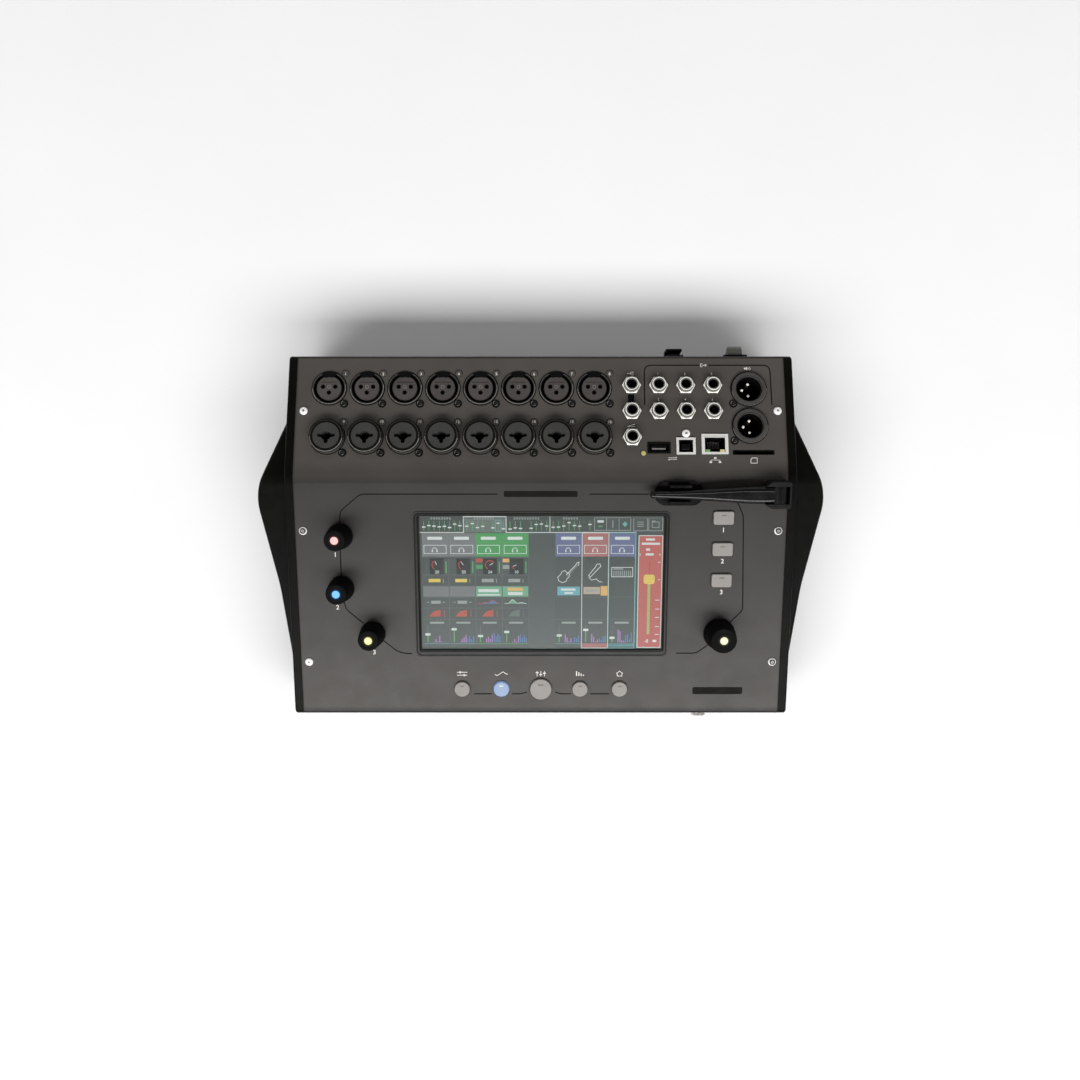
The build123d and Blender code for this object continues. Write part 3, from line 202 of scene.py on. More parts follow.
def surface(name, colour, roughness, mottle=0.12, mottle_scale=60.0, vary=0.06,
            grain=0.3, grain_scale=1500.0, grain_depth=0.05, stretch=None, **sockets):
    """A finish with colour variation, a roughness that varies and a fine grain."""
    made, tree, shader = new_material(name, **sockets)
    cloud = noise(tree, mottle_scale, 4.0)
    tree.links.new(clouded(tree, cloud, colour, mottle), shader.inputs["Base Color"])
    patches = noise(tree, mottle_scale * 3.1, 3.0, stretch)
    tree.links.new(remap(tree, patches, NOISE_SPAN, (roughness - vary, roughness + vary)),
                   shader.inputs["Roughness"])
    if grain:
        bump(tree, shader, noise(tree, grain_scale, 2.0, stretch), grain, grain_depth * MM)
    return made


def glow(name, colour, strength=1.0, roughness=0.4):
    """A lit surface: black plastic behind, with its light in the emission."""
    made, tree, shader = new_material(name, Base_Color=(0.004, 0.004, 0.004, 1), Roughness=roughness,
                                      Emission_Strength=strength)
    tree.links.new(clouded(tree, noise(tree, 900.0, 2.0), colour, 0.04), shader.inputs["Emission Color"])
    return made


def towards_rear(tree, kind):
    """The part towards the rear of the object's coordinates or of its normal."""
    place = add(tree, "TexCoord").outputs[kind]
    return add(tree, "SeparateXYZ", links={"Vector": place}).outputs["Y"]


def shade(made, grey):
    """Painted light and shade: multiplies a finish's colour by a node's output."""
    tree = made.node_tree
    base = tree.nodes["Principled BSDF"].inputs["Base Color"]
    tree.links.new(mixed(tree, 1.0, base.links[0].from_socket, grey, "MULTIPLY"), base)


def shade_folds(made, depth):
    """Painted shade: darkens a finish where the sheet bends over to its front face and rear wall."""
    tree = made.node_tree
    lean = add(tree, "Math", links={0: towards_rear(tree, "Normal")}, operation="ABSOLUTE").outputs["Value"]
    shade(made, remap(tree, lean, (0.21, 0.42), (1.0, depth)))


def shade_along(made, stops):
    """Painted light and shade: multiplies a finish by grey values at the given distances, in metres, towards the
    rear.
    """
    tree = made.node_tree
    start, end = stops[0][0], stops[-1][0]
    shades = add(tree, "ValToRGB",
                 links={"Fac": remap(tree, towards_rear(tree, "Object"), (start, end), (0.0, 1.0))})
    elements = shades.color_ramp.elements
    while len(elements) < len(stops):
        elements.new(0.5)
    for element, (y, grey) in zip(elements, stops):
        element.position = (y - start) / (end - start)
        element.color = (grey, grey, grey, 1)
    shade(made, shades.outputs["Color"])


powder = surface("powder_coat", (0.070, 0.0637, 0.0572, 1), 0.46, mottle=0.10, mottle_scale=25.0, vary=0.05,
                 grain=0.55, grain_scale=1100.0, grain_depth=0.06, Specular_IOR_Level=0.28)
# painted shade on the sheet's folds to the front face and rear wall
shade_folds(powder, 0.30)
# painted light and shade along the panel: dark on the front face, lightest at the front of the control slope and
# darker up it, darkest at the ridge, light on the connector slope
shade_along(powder, [(-0.1190, 0.22), (-0.1168, 0.30), (-0.1145, 0.78), (-0.060, 0.64), (-0.010, 0.48),
                     (0.024, 0.44), (0.033, 0.40), (0.037, 0.70), (0.046, 0.98), (0.116, 1.0)])
tray_steel = surface("tray_coat", (0.045, 0.042, 0.038, 1), 0.55, grain=0.5, grain_scale=1100.0)
cheek_plastic = surface("cheek_plastic", (0.0034, 0.0034, 0.0029, 1), 0.36, mottle=0.2, grain=0.25,
                        grain_scale=1700.0,
                        Specular_IOR_Level=0.06)
bezel_plastic = surface("bezel_plastic", (0.010, 0.0095, 0.0085, 1), 0.36, mottle=0.2, grain=0.15,
                        grain_scale=1800.0,
                        Specular_IOR_Level=0.3)
mount_plastic = surface("mount_plastic", (0.004, 0.004, 0.0036, 1), 0.40, mottle=0.2, grain=0.15,
                        grain_scale=1800.0,
                        Specular_IOR_Level=0.18)
gloss_black = surface("antenna_gloss", (0.004, 0.004, 0.0038, 1), 0.22, vary=0.05, grain=0.04,
                      grain_scale=500.0,
                      Specular_IOR_Level=0.35)
KNOB_BLACK = (0.0032, 0.0032, 0.0034, 1)
knob_rubber = surface("knob_soft_touch", KNOB_BLACK, 0.6, mottle=0.25, grain=0.3, grain_scale=2200.0,
                      Specular_IOR_Level=0.05)
main_ring = surface("main_output_ring", (0.050, 0.046, 0.042, 1), 0.42, mottle=0.12, grain=0.2,
                    grain_scale=1600.0)
socket_black = surface("socket_black", (0.0025, 0.0025, 0.0025, 1), 0.6, mottle=0.2, grain=0.2,
                       grain_scale=1600.0,
                       Specular_IOR_Level=0.08)
insert_grey = surface("insert_grey", (0.060, 0.054, 0.051, 1), 0.55, mottle=0.12, grain=0.2,
                      grain_scale=1800.0,
                      Specular_IOR_Level=0.3)
combo_grey = surface("combo_grey", (0.040, 0.040, 0.037, 1), 0.50, mottle=0.14, grain=0.2, grain_scale=1800.0,
                     Specular_IOR_Level=0.3)
tongue_grey = surface("tongue_grey", (0.20, 0.19, 0.18, 1), 0.5, mottle=0.1, grain=0.2, grain_scale=1800.0)
key_silicone = surface("key_silicone", (0.252, 0.238, 0.222, 1), 0.55, mottle=0.03, grain=0.25,
                       grain_scale=2200.0,
                       Subsurface_Weight=0.2, Subsurface_Scale=0.002)
key_mark = surface("key_mark", (0.16, 0.15, 0.14, 1), 0.6, mottle=0.05, grain=0.1)
nickel = surface("nickel_plate", (0.78, 0.76, 0.71, 1), 0.30, Metallic=1.0, mottle=0.04, vary=0.05,
                 grain=0.05, grain_scale=900.0, grain_depth=0.01)
# one nickel in two copies: a bright painted highlight for the nut chamfers and lips, a dark painted shade for the
# nut flats and bushing threads
nickel_painted_highlight = surface("nickel_painted_highlight", (0.95, 0.94, 0.88, 1), 0.35, Metallic=0.25, mottle=0.05, grain=0.05)
nickel_painted_shade = surface("nickel_painted_shade", (0.17, 0.163, 0.145, 1), 0.50, Metallic=0.35, mottle=0.05, vary=0.05,
                       grain=0.05, grain_scale=900.0, grain_depth=0.01)
bright_screw = surface("bright_screw", (0.95, 0.94, 0.92, 1), 0.40, Metallic=0.2, mottle=0.05, grain=0.1,
                       grain_scale=1200.0, grain_depth=0.02)
screw_recess_painted_shade = surface("screw_recess_painted_shade", (0.24, 0.235, 0.22, 1), 0.5, Metallic=0.3, mottle=0.1, grain=0.1)
black_screw = surface("black_oxide_screw", (0.030, 0.029, 0.028, 1), 0.36, Metallic=0.6, mottle=0.2,
                      grain=0.2)
contact_pin = surface("contact_pin", (0.86, 0.80, 0.66, 1), 0.18, Metallic=1.0, mottle=0.05, grain=0.05)
# painted highlight and painted shade on the main outputs' pins: bright tips, dark pins
pin_tip_painted_highlight = surface("pin_tip_painted_highlight", (0.95, 0.93, 0.86, 1), 0.35, Metallic=0.2, mottle=0.05, grain=0.05)
pin_painted_shade = surface("pin_painted_shade", (0.030, 0.024, 0.012, 1), 0.4, Metallic=0.3, mottle=0.2, grain=0.1,
                    Specular_IOR_Level=0.2)
bright_plate = surface("bright_plate", (0.80, 0.79, 0.76, 1), 0.38, Metallic=0.25, mottle=0.05, grain=0.08,
                       grain_scale=900.0, grain_depth=0.02)
rim_light = surface("rim_light", (0.23, 0.22, 0.20, 1), 0.35, mottle=0.08, grain=0.05)
rim_dark = surface("rim_dark", (0.004, 0.004, 0.0035, 1), 0.4, mottle=0.1, grain=0.1, Specular_IOR_Level=0.15)
rim_mid = surface("rim_mid", (0.048, 0.045, 0.041, 1), 0.4, mottle=0.1, grain=0.1, Specular_IOR_Level=0.3)
white_print = surface("white_print", srgb(214, 210, 204), 0.5, mottle=0.04, grain=0.1)
dark_print = surface("dark_print", (0.0045, 0.0040, 0.0035, 1), 0.6, mottle=0.15, grain=0.1,
                     Specular_IOR_Level=0.1)
rubber = surface("foot_rubber", (0.018, 0.018, 0.018, 1), 0.8, mottle=0.15, grain=0.5, grain_scale=1400.0)
board_green = surface("board_green", (0.012, 0.055, 0.022, 1), 0.4, mottle=0.2, mottle_scale=200.0, grain=0.2)
chip_black = surface("chip_black", (0.015, 0.015, 0.016, 1), 0.5, grain=0.2)
aluminium = surface("aluminium", (0.55, 0.55, 0.56, 1), 0.35, Metallic=1.0, stretch=(1, 12, 1), grain=0.1)
brass = surface("brass_standoff", (0.70, 0.52, 0.24, 1), 0.3, Metallic=1.0, grain=0.1)
grey_cable = surface("ribbon_grey", (0.30, 0.30, 0.31, 1), 0.6, stretch=(30, 1, 1), grain=0.3)
rocker_plastic = surface("rocker_plastic", (0.085, 0.088, 0.075, 1), 0.38, mottle=0.12, grain=0.15)

KEY_BLUE = (srgb(112, 134, 172), srgb(122, 144, 184))      # darkest and lightest light of the lit button
blue_key, tree, shader = new_material("lit_key_blue", Base_Color=(0.14, 0.18, 0.24, 1), Roughness=0.5,
                                      Emission_Strength=0.7)
blue_amount = remap(tree, noise(tree, 260.0, 2.0), NOISE_SPAN, (0.0, 1.0))
tree.links.new(mixed(tree, blue_amount, *KEY_BLUE), shader.inputs["Emission Color"])

glass, tree, shader = new_material("cover_glass", Base_Color=(0.97, 0.985, 0.98, 1), Transmission_Weight=1.0,
                                   IOR=1.45)
tree.links.new(remap(tree, noise(tree, 35.0), NOISE_SPAN, (0.0, 0.03)), shader.inputs["Roughness"])

amber_lens = glow("amber_lens", srgb(196, 186, 110), 0.8)
green_lens = glow("green_lens", srgb(132, 176, 112), 0.7)
yellow_lens = glow("yellow_lens", srgb(226, 214, 150), 0.75)
knob_lights = [glow(f"light_{name}", srgb(*shown)) for name, shown in (
    ("pink", (255, 206, 202)), ("blue", (120, 200, 255)), ("yellow", (244, 248, 178)),
    ("white", (252, 250, 214)))]
halo_colours = [srgb(78, 26, 28), srgb(16, 58, 100), srgb(70, 68, 16), srgb(70, 67, 36)]

NODE_FINISH = {name: finish for finish, names in (
    (powder, "top_panel"), (tray_steel, "base_tray"), (cheek_plastic, "left_cheek right_cheek"),
    (bezel_plastic, "screen_bezel"), (glass, "touch_glass"),
    (chip_black, "display_panel encoder_bodies key_switches"),
    (socket_black, "mic_socket_shells combo_socket_shells main_output_shells usb_a_socket usb_b_insert"),
    (socket_black, "network_insert card_reader power_inlet"), (insert_grey, "mic_socket_inserts"),
    (combo_grey, "combo_socket_inserts"), (pin_painted_shade, "main_output_pins"),
    (nickel, "jack_bodies jack_nuts headphone_jack encoder_nuts antenna_pin"),
    (bright_plate, "usb_b_shield network_shield"), (amber_lens, "status_led"), (bright_screw, "panel_screws"),
    (black_screw, "socket_screws base_screws"), (rubber, "rubber_feet"),
    (knob_rubber, "soft_knob_1 soft_knob_2 soft_knob_3 main_knob"),
    (key_silicone, "soft_key_1 soft_key_2 soft_key_3"),
    (key_silicone, "mode_button_1 mode_button_3 mode_button_4 mode_button_5"), (blue_key, "mode_button_2"),
    (mount_plastic, "antenna_mount power_switch_housing cable_hook"),
    (gloss_black, "antenna_blade antenna_clip"),
    (rocker_plastic, "power_rocker"), (board_green, "control_board socket_board main_board"),
    (aluminium, "heat_sink"), (brass, "board_standoffs"), (grey_cable, "ribbon_cable"),
    *((light, f"lit_shaft_{i}") for i, light in enumerate(knob_lights, 1)),
) for name in names.split()}
for name, node in frame["nodes"].items():
    for material_slot in node.material_slots:
        material_slot.material = NODE_FINISH[name]


# ---- closed solids
SHARP = math.radians(35)        # flatter edges than this are shaded smooth
BEVEL_FROM = math.radians(40)   # sharper edges than this are rounded


def circle(radius, count=48, centre=(0, 0), start=0.0, sweep=2 * math.pi):
    """Points on a circle, or on an arc with both of its ends."""
    whole = abs(sweep) > 2 * math.pi - 1e-6
    steps = count if whole else count - 1
    return [(centre[0] + radius * math.cos(start + sweep * i / steps),
             centre[1] + radius * math.sin(start + sweep * i / steps)) for i in range(count)]


def washer(outer, inner, count=72):
    """Outline and hole of a flat ring."""
    return [circle(outer, count), circle(inner, count)]


def band(outer, inner, start, sweep, count=30):
    """Outline of part of a flat ring."""
    return circle(outer, count, sweep=sweep, start=start) + circle(inner, count, sweep=-sweep,
                                                                   start=start + sweep)


def rounded(x0, y0, x1, y1, radius, count=5):
    """Outline of a rectangle with round corners."""
    points = []
    corners = [(x1 - radius, y1 - radius, 0), (x0 + radius, y1 - radius, 1),
               (x0 + radius, y0 + radius, 2), (x1 - radius, y0 + radius, 3)]
    for cx, cy, quarter in corners:
        points += circle(radius, count, (cx, cy), quarter * math.pi / 2, math.pi / 2)
    return points


def stroke(points, width, closed=False):
    """Outline, or outline and hole, of a line of even width through the points."""
    def side(offset):
        out = []
        n = len(points)
        for i, p in enumerate(points):
            before = points[i - 1] if (i or closed) else None
            after = points[(i + 1) % n] if (i < n - 1 or closed) else None
            into = (Vector(p) - Vector(before)).normalized() if before else None
            onward = (Vector(after) - Vector(p)).normalized() if after else None
            into, onward = into or onward, onward or into
            middle = (into + onward).normalized()
            normal = Vector((-middle.y, middle.x))
            reach = offset / max(0.35, normal.dot(Vector((-into.y, into.x))))
            out.append((p[0] + normal.x * reach, p[1] + normal.y * reach))
        return out
    left, right = side(width / 2), side(-width / 2)
    if closed:
        return [left, right]
    return [left + right[::-1]]


class Shape:
    """Closed solids gathered in one mesh. Sizes are in millimetres on the frame that each solid is placed with."""

    def __init__(self, name, body="case"):
        self.name, self.body = name, body
        self.mesh = bmesh.new()
        self.materials = []

    def slot(self, material):
        if material not in self.materials:
            self.materials.append(material)
        return self.materials.index(material)

    def points(self, place, points):
        return [self.mesh.verts.new(place @ (Vector(p) * MM)) for p in points]

    def face(self, corners, index):
        made = self.mesh.faces.new(corners)
        made.material_index = index

    def prism(self, place, outlines, low, high, material):
        """Flat plate. The first outline is its edge and the others are holes in it."""
        if isinstance(outlines[0][0], (int, float)):
            outlines = [outlines]
        index = self.slot(material)
        flat = [p for outline in outlines for p in outline]
        caps = tessellate_polygon([[Vector((x, y, 0)) for x, y in outline] for outline in outlines])
        bottom = self.points(place, [(x, y, low) for x, y in flat])
        top = self.points(place, [(x, y, high) for x, y in flat])
        for a, b, c in caps:
            self.face((top[a], top[b], top[c]), index)
            self.face((bottom[c], bottom[b], bottom[a]), index)
        start = 0
        for outline in outlines:
            n = len(outline)
            for i in range(n):
                a, b = start + i, start + (i + 1) % n
                self.face((bottom[a], bottom[b], top[b], top[a]), index)
            start += n

    def bar(self, place, x0, y0, x1, y1, low, high, material):
        self.prism(place, [(x0, y0), (x1, y0), (x1, y1), (x0, y1)], low, high, material)

    def lathe(self, place, profile, material, count=64, loop=False):
        """Turned solid. The profile is (radius, height) pairs from axis to axis, or a closed loop round a hole."""
        index = self.slot(material)
        rings = []
        for radius, height in profile:
            if radius < 1e-6:
                rings.append(self.points(place, [(0, 0, height)]) * count)
            else:
                rings.append(self.points(place, [(x, y, height) for x, y in circle(radius, count)]))
        pairs = list(zip(rings, rings[1:])) + ([(rings[-1], rings[0])] if loop else [])
        for lower, upper in pairs:
            for i in range(count):
                j = (i + 1) % count
                corners = []
                for corner in (lower[i], lower[j], upper[j], upper[i]):
                    if corner not in corners:
                        corners.append(corner)
                if len(corners) > 2:
                    self.face(corners, index)

    def loft(self, place, rings, material):
        """Solid through rings of equal length, closed at both ends."""
        index = self.slot(material)
        made = [self.points(place, ring) for ring in rings]
        n = len(rings[0])
        for lower, upper in zip(made, made[1:]):
            for i in range(n):
                j = (i + 1) % n
                self.face((lower[i], lower[j], upper[j], upper[i]), index)
        self.face(made[0][::-1], index)
        self.face(made[-1], index)

    def text(self, place, words, height, low, high, material):
        """Raised figures, centred on the frame."""
        index = self.slot(material)
        data = bpy.data.curves.new("figures", "FONT")
        data.body, data.align_x, data.align_y = words, "CENTER", "CENTER"
        data.size = height / 0.7    # a figure is 0.7 of its type's size
        data.extrude = (high - low) / 2
        data.offset = 0.022 * height
        holder = bpy.data.objects.new("figures", data)
        put_in_scene(holder)
        bpy.context.view_layer.update()
        made = bpy.data.meshes.new_from_object(holder.evaluated_get(bpy.context.evaluated_depsgraph_get()))
        xs = [v.co.x for v in made.vertices]
        ys = [v.co.y for v in made.vertices]
        middle = Vector(((min(xs) + max(xs)) / 2, (min(ys) + max(ys)) / 2, 0))
        made.transform(place @ Matrix.Diagonal((MM, MM, MM, 1))
                       @ Matrix.Translation(Vector((0, 0, (low + high) / 2)) - middle))
        before = len(self.mesh.verts)
        old_faces = len(self.mesh.faces)
        self.mesh.from_mesh(made)
        self.mesh.verts.ensure_lookup_table()
        self.mesh.faces.ensure_lookup_table()
        for made_face in self.mesh.faces[old_faces:]:
            made_face.material_index = index
        bmesh.ops.remove_doubles(self.mesh, verts=self.mesh.verts[before:], dist=1e-7)
        bpy.data.objects.remove(holder)
        bpy.data.meshes.remove(made)

    def build(self, bevel=0.0):
        bmesh.ops.recalc_face_normals(self.mesh, faces=self.mesh.faces)
        for edge in self.mesh.edges:
            edge.smooth = edge.calc_face_angle(0.0) < SHARP
        for made_face in self.mesh.faces:
            made_face.smooth = True
        data = bpy.data.meshes.new(self.name)
        self.mesh.to_mesh(data)
        self.mesh.free()
        for material in self.materials:
            data.materials.append(material)
        piece = bpy.data.objects.new(self.name, data)
        put_in_scene(piece)
        if bevel:
            rounding = piece.modifiers.new("edges", "BEVEL")
            rounding.width = bevel * MM
            rounding.segments = 2
            rounding.limit_method = "ANGLE"
            rounding.angle_limit = BEVEL_FROM
        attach(piece, self.body)
        return piece


# ---- printed lines and figures
INK = 0.05                  # height of the print above the panel
LINE = 0.75                 # width of a printed line


def curve_corner(points, radius, steps=6):
    """The same line with its inner corners rounded."""
    out = [points[0]]
    for before, corner, after in zip(points, points[1:], points[2:]):
        c = Vector(corner)
        back, ahead = Vector(before) - c, Vector(after) - c
        reach = min(radius, back.length * 0.45, ahead.length * 0.45)
        start, end = c + back.normalized() * reach, c + ahead.normalized() * reach
        for i in range(steps + 1):
            t = i / steps
            out.append(tuple(start * (1 - t) ** 2 + c * 2 * t * (1 - t) + end * t ** 2))
    return out + [points[-1]]


flow = Shape("flow_lines")


def print_lines(place, lines, corner=0.0):
    """Dark lines, with their corners rounded to about this radius."""
    for line in lines:
        path = curve_corner(line, corner) if corner else line
        flow.prism(place, stroke(path, LINE)[0], 0.0, INK, dark_print)


print_lines(on_controls(0, 0), [
    [(-27.5, 145.9), (-114.9, 145.9), (-128.1, 134.9), (-128.6, 126.4)],
    [(-128.9, 111.2), (-129.0, 92.2)],
    [(-128.3, 77.4), (-126.6, 70.4), (-115.6, 60.9)],
    [(-104.0, 50.2), (-94.4, 42.2), (-89.6, 40.6), (-84.6, 40.4)],
    [(31.0, 145.9), (117.0, 145.9), (125.6, 140.6), (129.6, 132.0), (131.6, 69.8), (123.6, 61.6)],
    [(109.8, 46.4), (102.0, 40.7), (88.9, 40.7)],
], 2.5)
print_lines(on_controls(0, 0), [
    [(-44.0, 12.7), (-32.4, 12.7)],
    [(-18.8, 12.7), (-13.5, 12.7), (-8.9, 13.9)],
    [(9.6, 13.9), (13.6, 12.7), (20.2, 12.7)],
    [(32.8, 12.7), (45.4, 12.7)],
])
print_lines(on_sockets(0, 0), [[(66.9, -32.1), (67.2, -5.3), (102.6, -5.3)],
                               [(108.4, -5.3), (148.4, -5.3), (148.8, -32.1)]], 4.5)
link_x = stereo_spots[0][0] - 0.2
flow.bar(on_sockets(0, 0), link_x - 2.0, -30.6, link_x + 2.0, -25.0, 0.0, 0.12, socket_black)
flow.build()

figures = Shape("figures")


def figure(place, number, height):
    figures.text(place, str(number), height, 0.0, INK, white_print)


for number, (x, run) in enumerate(mic_spots + combo_spots, 1):
    figure(on_sockets(x + 10.1, run - (10.3 if number > 8 else 9.8)), number, 1.75)
for number, (x, run) in enumerate(output_spots, 1):
    figure(on_sockets(x - 0.2, run - 8.0), number, 1.6)
for number, ((x, run), shift) in enumerate(zip(knob_spots, ((-3.6, -12.2), (-3.2, -12.7), (0.4, -12.8))), 1):
    figure(on_controls(x + shift[0], run + shift[1]), number, 2.9)
for number, (x, run) in enumerate(key_spots, 1):
    figure(on_controls(x + 0.3, run - 7.9), number, 2.9)
figures.build()

# pictograms in place of words
signs = Shape("pictograms")


def sign(place, lines, width=0.42, discs=(), plates=()):
    """A small white pictogram of strokes, discs and plates."""
    for line in lines:
        signs.prism(place, stroke(line, width)[0], 0.0, INK, white_print)
    for x, y, radius in discs:
        signs.prism(place, circle(radius, 16, (x, y)), 0.0, INK, white_print)
    for x0, y0, x1, y1 in plates:
        signs.bar(place, x0, y0, x1, y1, 0.0, INK, white_print)


label_spots = [on_controls(x, 26.6) for x, run in button_spots]
# set-up: two sliders on their tracks
sign(label_spots[0], [[(-3.4, 1.0), (3.4, 1.0)], [(-3.4, -1.0), (3.4, -1.0)]],
     discs=[(-1.2, 1.0, 0.75), (1.4, -1.0, 0.75)])
# processing: a response curve
curve = [(-4.2 + 0.35 * i, 1.5 * math.exp(-((i - 15) / 4.2) ** 2) - 0.9 * math.exp(-((i - 4) / 3) ** 2) - 0.3)
         for i in range(25)]
sign(label_spots[1], [curve])
# level: three faders
sign(label_spots[2], [[(x, -1.8), (x, 1.8)] for x in (-2.4, 0, 2.4)],
     plates=[(-3.3, 0.3, -1.5, 1.1), (-0.9, -1.0, 0.9, -0.2), (1.5, -0.1, 3.3, 0.7)])
# effects: an echo of falling bars
sign(label_spots[3], [], plates=[(-2.6 + 1.5 * i, -1.5, -1.9 + 1.5 * i, 1.7 - 0.8 * i) for i in range(4)])
# start page: a house
sign(label_spots[4],
     [[(-2.2, 0.1), (0, 1.8), (2.2, 0.1)], [(-1.5, 0.2), (-1.5, -1.6), (1.5, -1.6), (1.5, 0.2)]])
# outputs: an arrow that leaves a box
sign(on_sockets(105.5, 5.3), [[(-0.6, 1.0), (-1.8, 1.0), (-1.8, -1.0), (-0.6, -1.0)], [(-0.9, 0), (2.0, 0)],
                              [(1.0, 0.8), (2.0, 0), (1.0, -0.8)]], 0.35)
# main output: a loudspeaker
speaker = on_sockets(main_spots[0][0] - 0.6, 7.6)
sign(speaker, [[(0.8, -0.7), (1.2, 0), (0.8, 0.7)], [(1.7, -1.1), (2.3, 0), (1.7, 1.1)]],
     0.3, plates=[(-1.9, -0.6, -0.7, 0.6)])
signs.prism(speaker, [(-0.9, -0.5), (0.2, -1.2), (0.2, 1.2), (-0.9, 0.5)], 0.0, INK, white_print)
# stereo input: an arrow into a box
sign(on_sockets(stereo_spots[0][0] - 0.5, 10.9),
     [[(0.6, 1.0), (1.8, 1.0), (1.8, -1.0), (0.6, -1.0)], [(-2.0, 0), (0.9, 0)],
      [(0.0, 0.8), (0.9, 0), (0.0, -0.8)]],
     0.35)
# foot switch: a pedal on its base
sign(on_sockets(foot_spot[0] - 0.4, 45.7), [[(-2.4, -0.9), (2.4, -0.9)], [(-2.2, -0.6), (2.2, 0.8)]], 0.35)
# network: three linked computers
sign(on_sockets(111.2, 68.6),
     [[(-2.9, 0), (2.9, 0)], [(0, 0), (0, 1.1)], [(-2.9, 0), (-2.9, -0.8)], [(2.9, 0), (2.9, -0.8)]], 0.3,
     plates=[(-0.8, 0.8, 0.8, 1.9), (-3.7, -1.9, -2.1, -0.7), (2.1, -1.9, 3.7, -0.7)])
# data: two arrows, one each way
sign(on_sockets(84.0, 67.6),
     [[(-2.8, 0.5), (2.8, 0.5)], [(2.0, 1.1), (2.8, 0.5)], [(-2.8, -0.5), (2.8, -0.5)],
                              [(-2.0, -1.1), (-2.8, -0.5)]], 0.32)
# card: an outline with one cut corner
card = [(-2.0, -1.7), (2.0, -1.7), (2.0, 1.7), (-1.0, 1.7), (-2.0, 0.8)]
signs.prism(on_sockets(135.8, 68.9), stroke(card, 0.4, closed=True), 0.0, INK, white_print)
# headphones, on the front face
arc = circle(2.4, 13, (0, 0), 0.0, math.pi)
sign(on_front(108.0, 36.0), [arc], 0.5, plates=[(-3.0, -1.6, -1.9, 0.2), (1.9, -1.6, 3.0, 0.2)])
signs.build()

# ---- socket trim
socket_surrounds = Shape("socket_surrounds_painted_light")
SOCKET_SHADOW_IN = 10.6        # inner radius of the painted shadow round a socket's ring


def number_disc(place, radius=2.45):
    """Boss for a socket's number: a thin black ring with an arc of painted highlight inside it."""
    socket_surrounds.prism(place, washer(radius, radius - 0.3, 28), 0.0, 0.20, rim_dark)
    socket_surrounds.prism(place, band(radius - 0.3, radius - 0.48, 3.4, 2.6, 28), 0.0, 0.17, rim_light)


def screw_disc(place):
    """Dark seat of a socket's black screw, with two arcs of painted glint and a mid-grey bar on its head."""
    socket_surrounds.prism(place, washer(2.65, 1.9, 28), 0.0, 0.3, rim_dark)
    socket_surrounds.prism(place, band(1.75, 1.5, 1.9, 1.5, 12), 0.9, 1.03, rim_light)
    socket_surrounds.prism(place, band(1.55, 1.3, 4.4, 1.2, 12), 0.9, 1.03, rim_light)
    socket_surrounds.bar(place, -0.2, -0.15, 1.0, 0.15, 0.4, 0.9, rim_mid)


for x, run in mic_spots + combo_spots:
    place = on_sockets(x, run)
    number_disc(shifted(place, 10.1, 10.1))
    screw_disc(shifted(place, 9.9, -10.3))
    # painted shadow: a dark ring on the panel round each socket's ring
    socket_surrounds.prism(place, washer(11.55, SOCKET_SHADOW_IN), 0.0, 0.22, rim_dark)
for x, run in main_spots:
    place = on_sockets(x, run)
    # painted shadow: a dark ring on the panel round each main output's ring
    socket_surrounds.prism(place, washer(11.85, SOCKET_SHADOW_IN), 0.0, 0.22, rim_dark)
    screw_disc(shifted(place, -10.3, -9.8))
socket_surrounds.build()

trim = Shape("socket_rings")
NEARLY_ROUND = 2 * math.pi - 0.01
RING_FOOT = [(11.04, 0.0), (10.4, 0.0)]         # where the rings of the input sockets stand on the panel


def bright_arc(place, radius, width, height, start, sweep, material):
    """Thin raised arc of a finish on a ring's edge; part way round, it is a painted highlight in a light finish and
    painted shade in a dark one.
    """
    trim.prism(place, band(radius + width / 2, radius - width / 2, start, sweep), height - 0.12, height,
               material)


for x, run in mic_spots:
    place = on_sockets(x, run)
    trim.lathe(place, [(10.05, 0.3), (10.05, 1.0), (10.2, 1.08), (10.7, 1.08), (10.95, 0.9),
                       (11.04, 0.5)] + RING_FOOT,
               rim_mid, loop=True)
    # painted highlight on the lower side of the ring
    bright_arc(place, 10.68, 0.26, 1.14, 3.2, 3.3, rim_light)
for x, run in combo_spots:
    place = on_sockets(x, run)
    trim.lathe(place, [(9.3, 3.0), (9.3, 4.35), (9.75, 4.64), (10.4, 4.64), (10.85, 4.4),
                       (11.04, 3.9)] + RING_FOOT,
               rim_mid, loop=True)
    # painted shade in the groove between insert and ring, painted highlights on the ring's lower side and painted
    # shade on its upper side
    trim.prism(place, washer(9.95, 8.6), 4.5, 4.7, rim_dark)
    bright_arc(place, 10.45, 0.42, 4.68, 4.1, 2.0, rim_light)
    bright_arc(place, 10.5, 0.24, 4.68, 3.2, 0.9, rim_light)
    bright_arc(place, 10.4, 0.3, 4.68, 0.2, 2.6, rim_dark)
for x, run in main_spots:
    place = on_sockets(x, run)
    trim.lathe(place, [(8.1, 0.2), (8.1, 1.1), (8.4, 1.46), (10.8, 1.46), (11.2, 1.2), (11.4, 0.7),
                       (11.4, 0.0), (10.4, 0.0)], main_ring, loop=True)
    bright_arc(place, 8.55, 0.2, 1.5, 0.0, NEARLY_ROUND, rim_dark)
    bright_arc(place, 10.9, 0.2, 1.5, 0.0, NEARLY_ROUND, rim_mid)
    # painted highlight on the lower side of the ring
    bright_arc(place, 11.2, 0.18, 1.42, 3.3, 3.0, rim_light)
trim.build()

